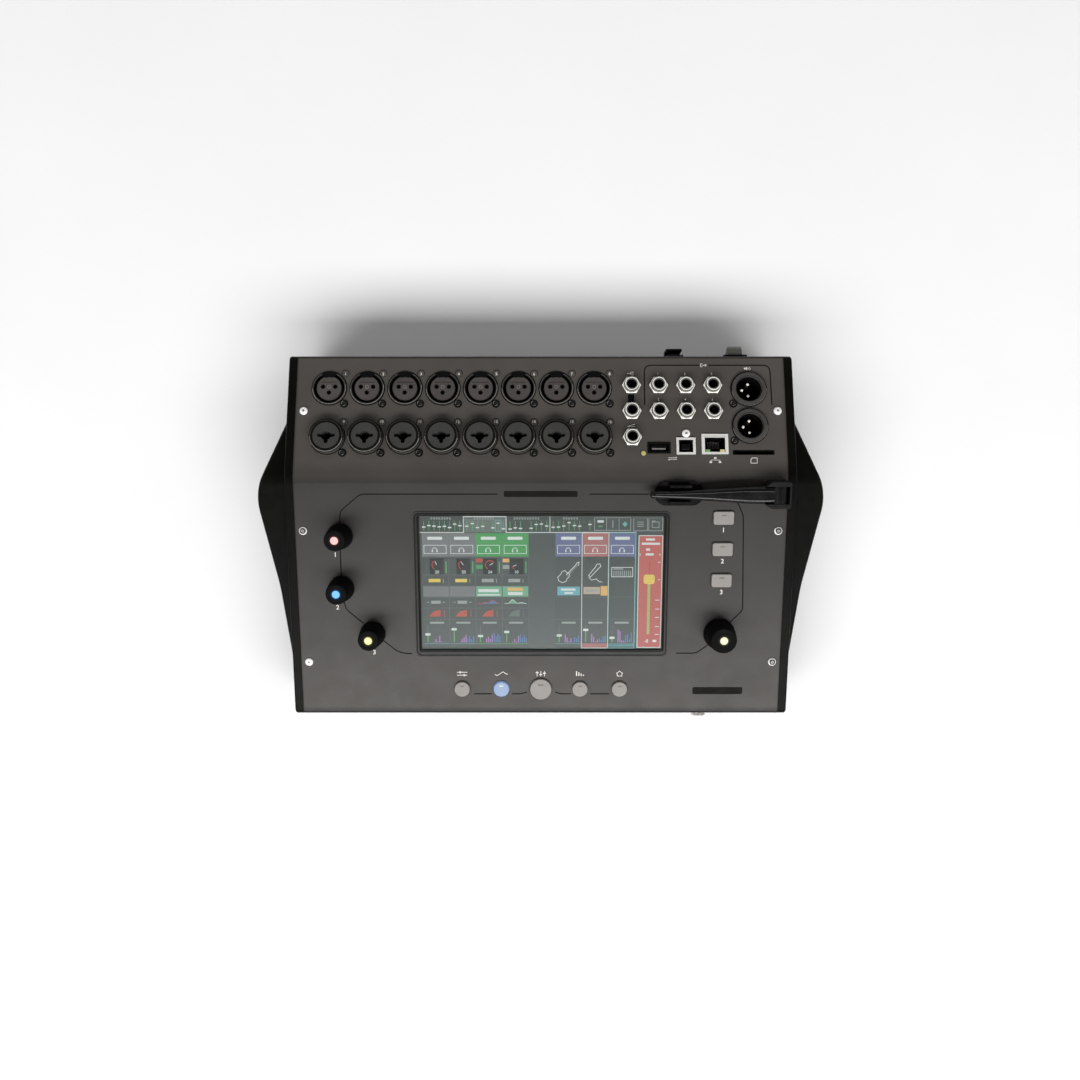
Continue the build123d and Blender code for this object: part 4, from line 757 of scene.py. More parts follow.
latches = Shape("latch_tabs")
mic_latch = (circle(10.75, 15, start=math.radians(62), sweep=math.radians(56))
             + circle(7.2, 15, start=math.radians(110), sweep=math.radians(-40)))
for x, run in mic_spots:
    latches.prism(on_sockets(x, run), mic_latch, 0.9, 1.12, socket_black)
for x, run in combo_spots:
    latches.prism(on_sockets(x, run), band(9.6, 8.05, math.radians(75), math.radians(30), 9), 0.0, 3.4,
                  socket_black)
latches.build(0.12)

contacts = Shape("socket_contacts")
SPREAD = 3.95           # from a three-pin connector's middle to its outer contacts
for x, run in mic_spots:
    place = on_sockets(x, run)
    for dx, dy in ((-SPREAD, 0.8), (SPREAD, 0.8), (0, -3.1)):
        contacts.lathe(shifted(place, dx, dy),
                       [(0.0, -1.2), (1.27, -1.2), (1.27, 0.98), (1.45, 1.03), (1.45, 1.06),
                                                (1.12, 1.06), (1.12, -0.9), (0.0, -0.9)], socket_black, 24)
    contacts.prism(place, [circle(1.15, 24, (0, 0.8)), circle(0.92, 24, (0, 0.8))], 0.98, 1.04, rim_light)
    contacts.prism(place, circle(0.92, 24, (0, 0.8)), 0.98, 1.02, insert_grey)
    contacts.bar(place, -5.1, 3.7, 5.1, 4.0, 0.98, 1.03, rim_dark)
    contacts.prism(place, washer(7.93, 7.65, 64), 0.9, 1.04, rim_mid)
contacts.build()

# painted highlight: bright caps on the tips of the main outputs' pins
tips = Shape("pin_tips")
TIP_LIFT = -2.1
tip_profile = [(0, TIP_LIFT - 0.3), (0.85, TIP_LIFT - 0.3), (0.85, TIP_LIFT), (0.5, TIP_LIFT + 0.25),
               (0, TIP_LIFT + 0.3)]
for x, run in main_spots:
    for dx, dy in ((0, SPREAD), (0, -SPREAD), (-SPREAD, 0)):
        tips.lathe(shifted(on_sockets(x, run), dx, dy), tip_profile, pin_tip_painted_highlight, 20)
tips.build()

# inserts of the combined sockets: a jack's bore joined to three contact holes
inserts = Shape("combo_inserts")
COMBO_TOP = 4.6
BORE_RADIUS = 3.15
BORE_STEPS = 240
LOBES = ((3, 4.4, 1.3), (177, 4.4, 1.3), (270, 3.8, 1.3))      # each one's heading, reach and half width
bore = []
for step in range(BORE_STEPS):
    angle = 2 * math.pi * step / BORE_STEPS
    reach = BORE_RADIUS
    for heading, out, half in LOBES:
        turn = (angle - math.radians(heading) + math.pi) % (2 * math.pi) - math.pi
        if out * abs(math.sin(turn)) < half and abs(turn) < 1.5:
            reach = max(reach, out * math.cos(turn) + math.sqrt(half ** 2 - (out * math.sin(turn)) ** 2))
        elif abs(turn) < 1.5:
            reach = max(reach, min(out / math.cos(turn), half / abs(math.sin(turn))))
    bore.append((reach * math.cos(angle), reach * math.sin(angle)))
for x, run in combo_spots:
    place = on_sockets(x, run)
    inserts.prism(place, [circle(7.95, 96), bore], -25.4, COMBO_TOP - 1.2, combo_grey)
    inserts.prism(place, [circle(8.5, 96), bore], COMBO_TOP - 1.2, COMBO_TOP, combo_grey)
    inserts.prism(place, circle(4.6, 32), -9.4, -8.4, socket_black)
    inserts.prism(place, washer(8.5, 8.1, 64), COMBO_TOP - 0.2, COMBO_TOP + 0.04, rim_mid)
    inserts.prism(place, band(6.0, 5.7, 0.62, 1.9, 24), COMBO_TOP - 0.2, COMBO_TOP + 0.04, rim_mid)
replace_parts(inserts.build(), "combo_socket_inserts")

# ---- jack nuts, with chamfered corners
NUT_FLAT = 5.35         # from the middle to a flat
CONE_FROM = NUT_FLAT * 0.93
BUSHING = 4.62          # radius of the hole
NUT_HEIGHT = 2.2
NUT_STEPS = 72


def nut(shape, place, turn=0.0):
    """Hexagon nut, its upper corners cut back by a cone."""
    # painted highlight on the chamfer cone, painted shade on the flats, top and hole
    face, edge = shape.slot(nickel_painted_shade), shape.slot(nickel_painted_highlight)
    rings = []
    for level in range(5):
        ring = []
        for i in range(NUT_STEPS):
            angle = 2 * math.pi * i / NUT_STEPS + turn
            across = NUT_FLAT / math.cos((angle - turn + math.pi / 6) % (math.pi / 3) - math.pi / 6)
            radius = (across, across, CONE_FROM, BUSHING + 0.12, BUSHING)[level]
            drop = (across - CONE_FROM) * 0.62
            z = (0.0, NUT_HEIGHT - drop, NUT_HEIGHT, NUT_HEIGHT, NUT_HEIGHT - 0.25)[level]
            ring.append((radius * math.cos(angle), radius * math.sin(angle), z))
        rings.append(ring)
    rings.append([(BUSHING * math.cos(2 * math.pi * i / NUT_STEPS + turn),
                   BUSHING * math.sin(2 * math.pi * i / NUT_STEPS + turn), 0.0) for i in range(NUT_STEPS)])
    made = [shape.points(place, ring) for ring in rings]
    for level, (lower, upper) in enumerate(list(zip(made, made[1:])) + [(made[-1], made[0])]):
        for i in range(NUT_STEPS):
            j = (i + 1) % NUT_STEPS
            shape.face((lower[i], lower[j], upper[j], upper[i]), edge if level == 1 else face)


nuts = Shape("hex_nuts")
for x, run in jack_spots:
    nut(nuts, on_sockets(x, run), math.pi / 6)
head_x, _, head_z = Vector(mount_at["jack_headphones"]["pos_m"]) / MM
nut(nuts, on_front(head_x, head_z), math.pi / 2)
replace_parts(nuts.build(), "jack_nuts")

throats = Shape("jack_throats")
for place in [on_sockets(x, run) for x, run in jack_spots] + [on_front(head_x, head_z)]:
    # threads on the bushing above the nut in painted shade, a rounded lip as a painted highlight, and the black
    # throat inside
    profile = [(4.6, 2.0)]
    for turn in range(5):
        profile += [(4.6, 2.3 + turn * 0.44), (4.78, 2.5 + turn * 0.44)]
    profile += [(4.6, 4.35), (4.1, 4.6), (3.2, 4.6), (3.16, 2.0)]
    throats.lathe(place, profile, nickel_painted_shade, 40, loop=True)
    throats.lathe(place, [(3.7, 4.4), (4.3, 4.3), (4.56, 4.3), (4.4, 4.6), (4.15, 4.68), (3.8, 4.68)],
                  nickel_painted_highlight, 40,
                  loop=True)
    throats.lathe(place, [(3.15, -2.0), (3.15, 3.6), (2.95, 3.6), (2.95, -2.0)], socket_black, 32, loop=True)
    throats.lathe(place, [(0, -9.0), (3.3, -9.0), (3.3, -8.0), (0, -8.0)], socket_black, 32)
throats.build()

# ---- panel screws, with domed heads
heads = Shape("panel_screw_heads")
screw_places = [on_sockets(x, run) for x, run in ((-152.2, 36.1), (152.2, 36.1), (93.0, 51.1))]
screw_places += [on_controls(x, run) for x in (-152.2, 152.2) for run in (34.9, 122.3)]
for place in screw_places:
    heads.lathe(place, [(0, -4.0), (1.5, -4.0), (1.5, 0.0), (2.6, 0.0), (2.6, 0.55), (2.45, 0.85),
                        (2.1, 1.15),
                        (1.6, 1.38), (1.1, 1.46), (0.85, 1.46), (0.85, 1.2), (0, 1.2)], bright_screw, 40)
    # painted shade in each head's recess
    heads.prism(place, circle(0.83, 6), 1.1, 1.34, screw_recess_painted_shade)
# painted reflection: a dark ring on three of the domed heads
for place in screw_places[-3:]:
    heads.lathe(place, [(0.9, 1.44), (0.9, 1.52), (1.15, 1.52), (1.7, 1.42), (1.95, 1.24), (1.95, 1.16),
                        (1.6, 1.3)],
                rim_mid, 40, loop=True)
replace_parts(heads.build(), "panel_screws")

# ---- data sockets
ports = Shape("port_details")


def cut_plate(place, edge, hole, low, high, material, radius=0.0):
    """Plate of half width and half height edge, with a hole from x0, y0 to x1, y1."""
    wide, tall = edge
    outer = rounded(-wide, -tall, wide, tall, radius) if radius else [
        (-wide, -tall), (wide, -tall), (wide, tall), (-wide, tall)]
    x0, y0, x1, y1 = hole
    ports.prism(place, [outer, [(x0, y0), (x1, y0), (x1, y1), (x0, y1)]], low, high, material)


net = on_sockets(111.2, 58.2)
# network: bright face with an inner line along its top, contacts, and a light each side of the latch notch
cut_plate(net, (8.5, 6.6), (-6.5, -5.3, 6.5, 4.3), 0.78, 0.86, bright_plate)
ports.bar(net, -7.4, 5.0, 7.4, 5.25, 0.84, 0.90, tongue_grey)
ports.prism(net, rounded(-6.1, -5.3, -3.2, -3.6, 0.2), 0.2, 0.62, green_lens)
ports.prism(net, rounded(3.2, -5.3, 6.1, -3.6, 0.2), 0.2, 0.62, yellow_lens)
for i in range(8):
    ports.bar(net, -3.75 + i * 1.02, -1.6, -3.35 + i * 1.02, 3.0, -6.0, -5.6, tongue_grey)
# data sockets: a black surround with a grey tongue, and a bright frame round a dark block
usb_a = on_sockets(75.5, 60.6)
cut_plate(usb_a, (7.4, 3.7), (-6.5, -2.6, 6.5, 2.6), 0.0, 0.5, rim_dark, 0.5)
ports.prism(usb_a, rounded(-4.4, -0.95, 4.4, 0.75, 0.1), -2.6, -1.0, tongue_grey)
for i in range(4):
    ports.bar(usb_a, -4.2 + i * 2.5, 0.76, -3.2 + i * 2.5, 0.9, -9.0, -1.6, contact_pin)
cut_plate(on_sockets(135.8, 63.6), (13.3, 1.6), (-12.4, -1.15, 12.4, 1.15), 0.0, 0.05, socket_black, 0.5)
usb_b = on_sockets(92.7, 59.5)
cut_plate(usb_b, (6.15, 5.55), (-4.75, -4.2, 4.75, 4.2), 0.78, 0.86, bright_plate, 0.3)
ports.prism(usb_b, rounded(-2.6, -1.9, 2.6, 1.7, 0.2), -2.0, -0.9, rim_mid)
# status light: a domed lens in a dark seat
lens = on_sockets(65.6, 64.2)
ports.lathe(lens, [(0, 0.0), (1.55, 0.0), (1.45, 0.5), (1.0, 0.85), (0.5, 0.98), (0, 1.0)], amber_lens, 28)
ports.lathe(lens, [(1.55, 0.0), (1.55, 0.35), (1.75, 0.4), (1.95, 0.3), (1.95, 0.0)], rim_mid, 28, loop=True)
ports.build()

# ---- edges of the screen's frame: mid-grey lines of painted highlight along its outer and inner edges, and a dark line of painted shadow between them
frame_lines = Shape("bezel_lines")
BEZEL_HALF = (82.6, 48.2)


def inset_edge(inset, least):
    wide, tall = BEZEL_HALF
    return rounded(inset - wide, inset - tall, wide - inset, tall - inset, max(4.2 - inset, least))


for inset, width, finish in ((0.1, 0.3, rim_mid), (0.75, 0.9, rim_dark), (4.1, 0.2, rim_mid)):
    frame_lines.prism(on_controls(0.6, 86.5), [inset_edge(inset, 0.5), inset_edge(inset + width, 0.4)], 0.5,
                      0.64,
                      finish)
frame_lines.build()

# ---- painted lines along the antenna: a painted highlight along its rear edge and a dark line just in front of its middle
antenna_lines = Shape("antenna_painted_lines", "antenna")
antenna_x, antenna_run = spot("antenna_fold", control_slope)
BLADE_LIFT = 7.0            # of the blade's middle above the control slope
# along the blade: the distance from its hinge, half its thickness and half its width
BLADE = ((4.0, 4.27, 2.5), (24.0, 4.0, 2.45), (40.0, 3.6, 1.6), (62.0, 2.9, 0.75), (78.0, 2.52, 0.4))
for side, width in ((1.0, 0.32), (-0.35, 0.26)):
    rings = []
    for reach, thick, half in BLADE:
        y, top = side * half, BLADE_LIFT + thick
        rings.append([(-reach, y - width / 2, top - 0.3), (-reach, y + width / 2, top - 0.3),
                      (-reach, y + width / 2, top + 0.05), (-reach, y - width / 2, top + 0.05)])
    antenna_lines.loft(on_controls(antenna_x, antenna_run), rings, rim_mid if side > 0 else rim_dark)
antenna_lines.build()

# ---- keys and buttons: dark slots and lights
SLOT_LOW, SLOT_HIGH = 1.45, 1.62


def add_slot(name, body, place, half, material):
    mark = Shape(name, body)
    mark.prism(place, rounded(-half, -0.36, half, 0.36, 0.34), SLOT_LOW, SLOT_HIGH, material)
    mark.build()


for number, (x, run) in enumerate(key_spots, 1):
    add_slot(f"key_slot_{number}", f"soft_key_{number}", on_controls(x, run + 1.9), 1.6, key_mark)
for number, ((x, run), radius) in enumerate(zip(button_spots, (5.1, 5.1, 7.1, 5.1, 5.1)), 1):
    add_slot(f"button_slot_{number}", f"mode_button_{number}", on_controls(x, run + radius * 0.45),
             radius * 0.26,
             knob_lights[3] if number == 2 else key_mark)

# light that each lit shaft throws on the top of its knob
HALO_LIFT = 17.7
HALO_FROM, HALO_TO = 2.3 * MM, 3.9 * MM
for name, (x, run), colour in zip(knob_names, knob_spots, halo_colours):
    ring, tree, shader = new_material(f"{name}_halo", Base_Color=KNOB_BLACK, Roughness=0.6,
                                      Specular_IOR_Level=0.05,
                                      Emission_Strength=1.0)
    away = add(tree, "VectorMath", {1: on_controls(x, run, HALO_LIFT).translation},
               {0: add(tree, "TexCoord").outputs["Object"]}, operation="DISTANCE").outputs["Value"]
    fade = remap(tree, away, (HALO_FROM, HALO_TO), (1.0, 0.0), interpolation_type="SMOOTHSTEP")
    tree.links.new(mixed(tree, fade, (0, 0, 0, 1), colour), shader.inputs["Emission Color"])
    bump(tree, shader, noise(tree, 2200.0, 2.0), 0.3, 0.05 * MM)
    halo = Shape(f"{name}_halo", name)
    halo.lathe(on_controls(x, run), [(2.5, 17.62), (2.5, 17.76), (5.4, 17.76), (5.4, 17.62)], ring, 56,
               loop=True)
    halo.build()

# ---- the screen's picture
SCREEN = {name: glow(f"screen_{name}", srgb(*shown), roughness=0.3 if name in ("base", "gap") else 0.4)
          for name, shown in {
    "base": (80, 87, 85), "gap": (85, 92, 90), "tab": (106, 115, 112), "grey": (118, 121, 122),
    "green": (80, 153, 94), "leaf": (114, 168, 136), "blue": (106, 113, 145), "red": (163, 112, 110),
    "panel_red": (182, 101, 95), "white": (206, 214, 210), "soft": (150, 158, 155), "dark": (48, 52, 52),
    "line": (104, 114, 111), "teal": (112, 170, 168), "yellow": (218, 196, 96), "amber": (214, 172, 108),
    "tan": (180, 163, 144), "cyan": (108, 169, 178), "wedge": (180, 92, 78), "purple": (160, 118, 178),
    "sky": (84, 122, 168), "lime": (160, 176, 104), "meter": (96, 170, 110), "arc": (186, 74, 66),
    "foot": (88, 140, 142)}.items()}
WIDE, TALL = 157.0, 88.7
DISPLAY_TOP = -2.34         # the display's face, from the slope
LAYER = 0.035               # thickness of one layer of the picture
picture = Shape("screen_picture")
corner = on_controls(0.6 - WIDE / 2, 87.3 + TALL / 2)


def lay(outlines, colour, layer):
    """Plate on the display. A higher layer stands over the ones below it."""
    picture.prism(corner, outlines, DISPLAY_TOP + 0.002 * layer, DISPLAY_TOP + LAYER * (layer + 1),
                  SCREEN[colour])


def patch(points, colour, layer):
    """Plate through points right of and below the picture's top left corner."""
    lay([(u, -v) for u, v in points], colour, layer)


def slab(u0, v0, u1, v1, colour, layer, radius=0.0):
    """Plate of the picture, from u0, v0 to u1, v1 millimetres right of and below its top left corner."""
    lay(rounded(u0, -v1, u1, -v0, radius, 4) if radius else [(u0, -v1), (u1, -v1), (u1, -v0), (u0, -v0)],
        colour, layer)


def draw(points, width, colour, layer, closed=False):
    """Line of the picture through points right of and below its top left corner."""
    outlines = stroke([(u, -v) for u, v in points], width, closed)
    lay(outlines if closed else outlines[0], colour, layer)


def frame_of(u0, v0, u1, v1, width, colour, layer):
    draw([(u0, v0), (u1, v0), (u1, v1), (u0, v1)], width, colour, layer, closed=True)


def digits(u, v, words, height, layers):
    picture.text(shifted(corner, u, -v), words, height, DISPLAY_TOP, DISPLAY_TOP + LAYER * layers,
                 SCREEN["white"])


slab(0.0, 0.0, WIDE, TALL, "base", 0)
slab(70.2, 11.2, 87.5, TALL - 0.6, "gap", 1)
# tabs along the top, each with a row of small faders
slab(28.4, 0.5, 55.6, 10.8, "tab", 1)
draw([(0.2, 10.8), (28.3, 10.8), (28.3, 0.5), (55.7, 0.5), (55.7, 10.8), (139.6, 10.8)], 0.5, "white", 2)
draw([(83.9, 0.4), (83.9, 10.4)], 0.45, "white", 2)
for u0, u1 in ((7.2, 21.2), (35.0, 49.4), (60.6, 79.2), (92.2, 103.6)):
    for i in range(int((u1 - u0) / 1.7)):
        slab(u0 + i * 1.7, 1.0, u0 + i * 1.7 + 1.1, 2.3, "soft", 2)
fader_rows = [(2.8, 7.3), (6.1, 6.3), (9.4, 6.7), (12.8, 7.1), (16.1, 6.8), (19.4, 7.6), (22.7, 5.4),
              (26.0, 6.4),
              (30.5, 6.7), (34.0, 5.0), (37.3, 7.6), (40.7, 6.8), (47.2, 7.8), (50.6, 4.8), (54.0, 8.4),
              (58.3, 8.6), (61.6, 7.8), (65.0, 8.2), (71.8, 8.1), (75.1, 5.6), (78.4, 5.3), (81.8, 6.6),
              (86.0, 7.4), (89.4, 7.3), (92.8, 6.6), (96.2, 4.4), (99.6, 6.3), (103.0, 6.7), (109.6, 5.6)]
for u, v in fader_rows:
    slab(u - 0.2, 3.4, u + 0.2, 9.6, "meter", 2)
    slab(u - 1.1, v - 0.4, u + 1.1, v + 0.4, "white", 3, 0.2)
frame_of(48.8, 2.8, 52.4, 10.0, 0.35, "teal", 3)
# icon boxes at the top right
for u0, u1, v0, v1 in ((112.6, 135.8, 1.3, 9.4), (137.7, 146.5, 1.5, 9.7), (147.4, 156.3, 1.5, 9.7)):
    frame_of(u0, v0, u1, v1, 0.4, "soft", 2)
for u in (120.3, 128.3):
    draw([(u, 1.6), (u, 9.2)], 0.35, "soft", 2)
slab(114.4, 2.8, 118.4, 4.4, "white", 2, 0.3)
slab(115.0, 6.4, 117.6, 7.2, "meter", 2)
draw([(124.3, 3.0), (124.3, 7.8)], 0.6, "soft", 2)
patch([(132.1, 3.6), (133.8, 5.4), (132.1, 7.2), (130.4, 5.4)], "teal", 2)
for v in (4.0, 5.4, 6.8):
    slab(140.0, v - 0.25, 144.2, v + 0.25, "soft", 2)
frame_of(149.6, 4.0, 154.0, 7.6, 0.4, "soft", 2)
slab(149.4, 3.2, 151.6, 3.9, "soft", 2)


def arc_points(centre, radius, start, end, steps=14):
    """Points on an arc of the picture, in degrees clockwise from straight up."""
    return [(centre[0] + radius * math.sin(math.radians(start + (end - start) * i / steps)),
             centre[1] - radius * math.cos(math.radians(start + (end - start) * i / steps)))
            for i in range(steps + 1)]


def strip(number, left, head):
    """Channel strip: coloured head with a name bar and a listen button, and its lines."""
    right = left + 17.0
    slab(left, 11.3, right, 26.7, head, 1)
    slab(left + 3.6, 13.6, left + 13.2, 15.6, "white", 2, 0.5)
    frame_of(left + 1.3, 19.2, right - 1.4, 24.6, 0.35, "white", 2)
    middle = left + 8.2
    draw(arc_points((middle, 22.4), 1.5, -95, 95, 10), 0.4, "white", 2)
    for ear in (middle - 1.5, middle + 1.5):
        slab(ear - 0.4, 22.2, ear + 0.4, 23.7, "white", 3)
    draw([(right + 0.1, 11.3), (right + 0.1, 85.0)], 0.25, "line", 1)


def sends(left, tall, levels, cap):
    """Send bars at the strip's foot beside a fader."""
    slab(left + 4.2, 70.2, left + 13.4, 71.4, "soft", 2)
    draw([(left + 2.6, 72.6), (left + 2.6, 84.0)], 0.35, "line", 2)
    slab(left + 2.3, cap, left + 2.9, 84.0, "meter", 3)
    slab(left + 0.9, cap - 0.9, left + 4.3, cap + 0.6, "white", 4, 0.4)
    for i, level in enumerate(levels):
        u = left + 6.2 + i * 1.25
        slab(u, 84.2 - level, u + 0.75, 84.2, "purple" if i < len(levels) // 2 else "sky", 2)
    slab(left + 0.2, 84.9, left + 16.8, 85.3, tall, 2)


for number, (left, head) in enumerate(((1.3, "grey"), (18.55, "grey"), (35.8, "green"), (53.05, "green"))):
    strip(number, left, head)
    # gain dial, its value and the meter beside it
    slab(left + 4.8, 27.8, left + 13.8, 38.4, "dark", 2)
    centre = (left + 9.2, 32.2)
    dial_turn = (-20, -30, 60, -110)[number]
    draw(arc_points(centre, 2.9, -150, dial_turn), 0.55, "arc", 3)
    draw([centre, arc_points(centre, 2.4, dial_turn, 0, 1)[0]], 0.45, "white", 3)
    slab(left + 15.0, 30.0, left + 15.7, 37.6, "meter", 2)
    digits(left + 9.4, 36.8, ("20", "20", "34", "10")[number], 1.9, 4)
    if number > 1:
        slab(left + 0.3, 28.0, left + 4.6, 30.4, "wedge" if number == 2 else "amber", 2, 0.4)
        slab(left + 0.3, 32.2, left + 4.6, 34.8, "green" if number == 2 else "soft", 2, 0.4)
    slab(left + 0.2, 39.0, left + 16.8, 45.8, "base", 2)
    slab(left + 3.9, 41.4, left + 11.6, 43.6, "yellow" if number < 2 else "soft", 3, 0.3)
    slab(left + 13.2, 41.4, left + 13.6, 44.0, "soft", 3)
    slab(left + 0.2, 46.4, left + 16.8, 53.2, "grey" if number < 2 else "leaf", 2)
    # insert effect, response curve and compressor
    if number == 2:
        slab(left + 1.6, 48.2, left + 14.8, 50.2, "white", 3, 0.4)
        slab(left + 1.0, 51.6, left + 15.8, 52.5, "white", 3)
    if number == 3:
        slab(left + 3.4, 47.3, left + 13.4, 49.3, "amber", 3, 0.3)
        slab(left + 3.6, 50.2, left + 13.2, 52.2, "white", 3, 0.3)
    if number < 2:
        slab(left + 5.2, 56.0, left + 11.4, 58.0, "soft", 2, 0.3)
        slab(left + 2.4, 56.8, left + 4.0, 57.2, "soft", 2)
        slab(left + 12.6, 56.8, left + 14.4, 57.2, "soft", 2)
    else:
        shape = [(left + 1.4 + 0.6 * i, 57.6 - 2.0 * math.exp(-((i - (15 if number == 2 else 9)) / 3.2) ** 2)
                  + 0.4 * math.sin(i * 0.6)) for i in range(25)]
        patch(shape + [(left + 15.8, 57.9), (left + 1.4, 57.9)], "sky" if number == 2 else "leaf", 2)
        draw(shape, 0.35, "arc" if number == 2 else "white", 3)
    patch([(left + 3.6, 66.6), (left + 6.6, 63.2), (left + 11.2, 62.0), (left + 11.2, 66.6)],
          "wedge" if number < 3 else "tab", 2)
    draw([(left + 13.8, 62.2), (left + 13.8, 67.0)], 0.35, "wedge" if number < 3 else "line", 2)
    for v in (27.2, 38.8, 46.1, 53.6, 60.9, 68.5):
        draw([(left, v), (left + 17.1, v)], 0.2, "line", 2)

sends(1.3, "foot", (0.4, 2.2, 0.6, 4.6, 0.8, 0.3, 0.2, 0.2), 78.9)
sends(18.55, "foot", (0.4, 2.4, 3.4, 5.2, 2.4, 4.8, 2.2, 4.2), 75.4)
sends(35.8, "green", (2.6, 3.8, 2.4, 5.4, 6.6, 4.4, 5.8, 4.6), 80.0)
sends(53.05, "green", (0.4, 2.2, 0.6, 4.4, 5.4, 3.0, 5.0, 3.2), 77.2)

for left, head in ((87.5, "blue"), (104.9, "red"), (122.2, "blue")):
    strip(0, left, head)
sends(87.5, "foot", (5.6, 3.4, 0.8, 3.0, 0.8, 3.6, 2.6, 4.6), 79.6)
sends(104.9, "red", (5.8, 4.0, 0.8, 2.0, 2.8, 1.4, 3.8, 4.4), 75.8)
sends(122.2, "foot", (8.6, 7.6, 1.4, 1.2, 4.6, 5.6, 2.0, 6.6), 81.2)
slab(104.9, 85.2, 121.9, 87.8, "red", 2)
slab(122.2, 85.5, 139.2, 87.0, "foot", 2)
for left, colour in ((104.7, "white"), (122.0, "teal")):
    frame_of(left, 11.0, left + 17.2, 88.0, 0.45, colour, 4)
draw([(139.4, 10.8), (139.4, 85.0)], 0.3, "teal", 2)
# a guitar, a microphone and a keyboard, each drawn as a plain outline
guitar = [(89.6, 42.6), (89.0, 40.2), (90.8, 38.6), (91.8, 36.6), (93.6, 35.8), (94.8, 37.2), (96.6, 37.8),
          (96.8, 39.6), (95.2, 41.0), (94.4, 43.0), (92.0, 44.0)]
draw(guitar, 0.42, "white", 2, True)
draw([(94.6, 38.8), (101.2, 31.6)], 0.5, "white", 2)
draw([(95.4, 39.6), (101.8, 32.3)], 0.35, "soft", 2)
draw([(100.8, 31.0), (102.8, 30.4), (102.4, 32.6)], 0.5, "white", 2)
microphone = [(109.0, 39.2), (113.4, 33.6), (114.2, 31.8), (116.2, 31.4), (117.0, 33.0), (115.4, 34.6),
              (110.2, 40.2)]
draw(microphone, 0.42, "white", 2, True)
draw([(109.2, 40.4), (111.0, 42.2), (114.0, 41.4), (116.2, 43.4), (118.0, 43.4)], 0.4, "white", 2)
frame_of(124.0, 33.8, 137.6, 40.0, 0.4, "white", 2)
for i in range(9):
    slab(125.2 + i * 1.35, 36.0, 125.8 + i * 1.35, 39.6, "soft", 2)
slab(125.0, 34.4, 131.4, 35.2, "soft", 2)
# insert effects of these strips
slab(88.8, 46.6, 103.4, 52.4, "cyan", 2)
slab(91.2, 47.8, 100.6, 49.2, "white", 3, 0.3)
slab(93.4, 50.2, 99.0, 51.4, "white", 3, 0.3)
slab(105.8, 46.8, 116.6, 51.6, "tan", 2)
slab(107.2, 48.4, 115.0, 50.0, "soft", 3, 0.3)
slab(117.0, 46.2, 121.4, 52.6, "amber", 2)
for left in (87.5, 104.9, 122.2):
    for v in (53.6, 68.5):
        draw([(left, v), (left + 17.0, v)], 0.2, "line", 1)
# main fader on its red panel
slab(141.3, 12.9, 156.6, 87.6, "panel_red", 1, 1.0)
frame_of(141.3, 12.9, 156.6, 87.6, 0.5, "white", 2)
for u0, u1, v in ((145.8, 151.6, 15.4), (143.2, 155.0, 18.2), (146.0, 148.6, 22.0), (145.8, 151.0, 25.2)):
    slab(u0, v - 0.7, u1, v + 0.7, "white", 2, 0.3)
for u in (142.0, 154.8):
    slab(u, 24.8, u + 0.5, 25.8, "white", 2)
draw([(148.4, 30.6), (148.4, 78.4)], 0.55, "arc", 2)
slab(147.5, 42.0, 149.3, 78.6, "lime", 3, 0.5)
slab(144.8, 38.6, 152.0, 44.8, "yellow", 4, 1.6)
frame_of(145.8, 39.8, 151.0, 43.6, 0.4, "amber", 5)
slab(145.4, 41.5, 151.4, 41.9, "amber", 5)
for v, length in ((30.4, 1.4), (42.0, 1.4), (55.6, 2.6), (61.6, 2.6), (67.2, 2.6), (73.4, 2.6), (78.8, 2.6)):
    slab(155.4 - length, v - 0.25, 155.4, v + 0.25, "white", 2)
digits(147.4, 83.2, "-8", 2.2, 3)
slab(151.4, 82.4, 154.0, 84.0, "white", 2, 0.3)
picture.build()

# ---- blank name plates
plates = Shape("blank_plates")
plates.prism(on_controls(0.0, 146.0), rounded(-23.5, -1.9, 23.5, 1.9, 1.0), 0.0, 0.12, dark_print)
plates.prism(on_controls(117.0, 14.9), rounded(-16.5, -2.4, 16.5, 2.4, 1.2), 0.0, 0.12, dark_print)
plates.build(0.04)

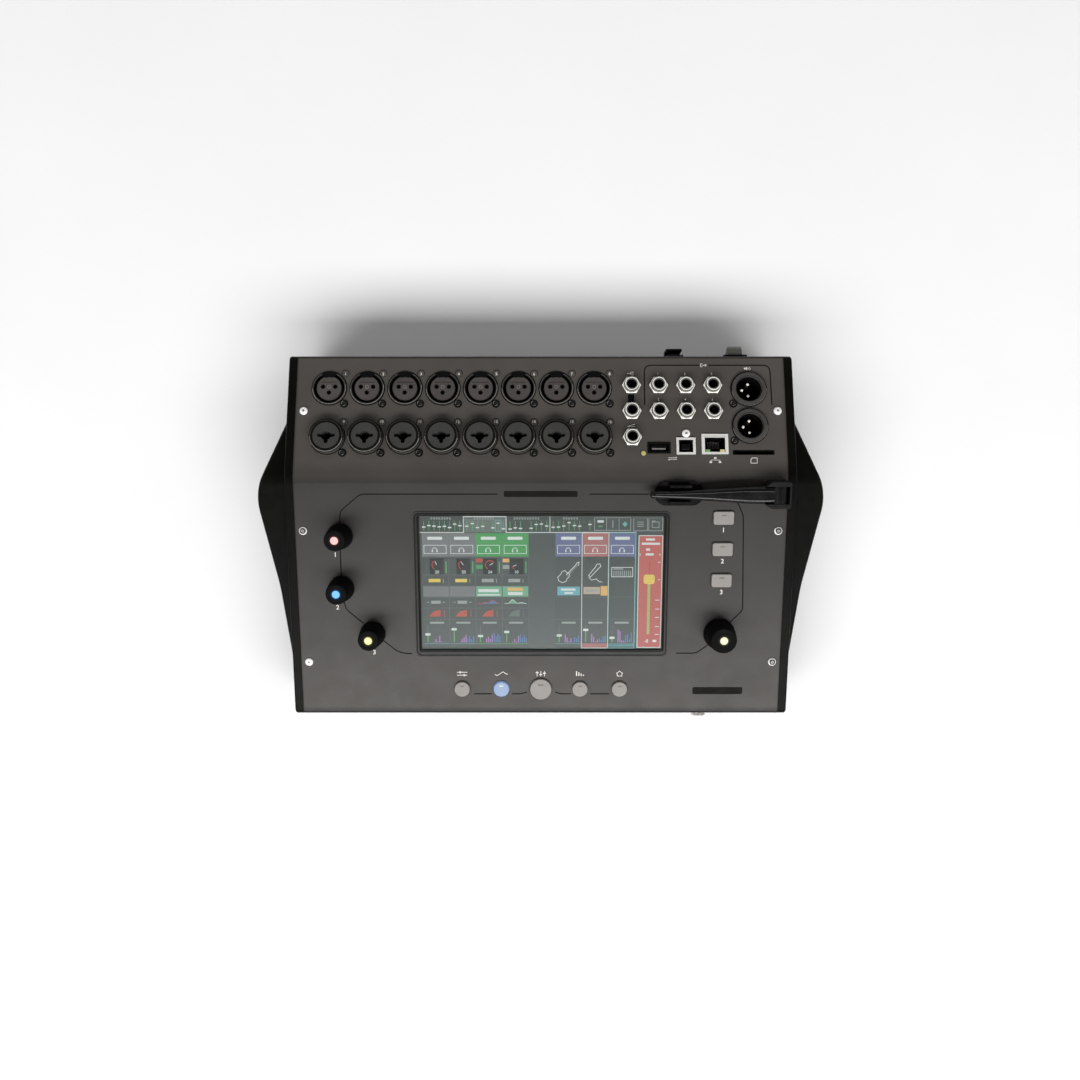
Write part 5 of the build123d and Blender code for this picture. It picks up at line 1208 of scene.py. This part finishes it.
# ---- floor, lights and camera
floor_mesh = bpy.data.meshes.new("floor")
FLOOR_HALF = 6.0
floor_corners = [(x * FLOOR_HALF, y * FLOOR_HALF, 0) for x, y in ((-1, -1), (1, -1), (1, 1), (-1, 1))]
floor_mesh.from_pydata(floor_corners, [], [(0, 1, 2, 3)])
floor_mesh.materials.append(surface("floor_paper", (0.86, 0.86, 0.86, 1), 0.75, mottle=0.012,
                                    mottle_scale=6.0,
                                    grain=0.05, grain_scale=400.0))
floor = bpy.data.objects.new("floor", floor_mesh)
put_in_scene(floor)
LAMP_AIM = Vector((0, 0, 0.03))


def softbox(name, place, size, power):
    """Rectangular lamp that points at the middle of the case."""
    data = bpy.data.lights.new(name, "AREA")
    data.shape = "RECTANGLE"
    data.size, data.size_y = size
    data.energy = power
    lamp = bpy.data.objects.new(name, data)
    lamp.location = place
    lamp.rotation_euler = (LAMP_AIM - Vector(place)).to_track_quat("-Z", "Y").to_euler()
    put_in_scene(lamp)


softbox("key_front", (0.0, -1.95, 2.30), (5.6, 1.2), 168.0)
softbox("fill_rear", (0.0, 1.60, 1.20), (2.2, 0.7), 4.5)
softbox("fill_left", (-1.70, 0.15, 1.15), (0.8, 1.8), 5.0)
softbox("fill_right", (1.70, 0.15, 1.15), (0.8, 1.8), 5.0)

world = bpy.data.worlds.new("studio")
scene.world = world
world.use_nodes = True
sky = world.node_tree
background = sky.nodes["Background"]
upward = add(sky, "SeparateXYZ", links={"Vector": add(sky, "TexCoord").outputs["Generated"]}).outputs["Z"]
ramp = add(sky, "ValToRGB", links={"Fac": upward})
sky.links.new(ramp.outputs["Color"], background.inputs["Color"])
stops = ramp.color_ramp.elements
stops[0].position, stops[0].color = 0.0, (0.42, 0.42, 0.42, 1)
stops[1].position, stops[1].color = 1.0, (0.015, 0.015, 0.015, 1)
middle = stops.new(0.45)
middle.color = (0.16, 0.16, 0.16, 1)
background.inputs["Strength"].default_value = 0.75

scene.view_settings.view_transform = "Standard"
camera_data = bpy.data.cameras.new("camera")
camera_data.sensor_width = 36.0
camera_data.lens = 30.07
camera = bpy.data.objects.new("camera", camera_data)
camera.location = (-0.0004, -0.0039, 0.645)
put_in_scene(camera)
scene.camera = camera

bpy.context.view_layer.update()
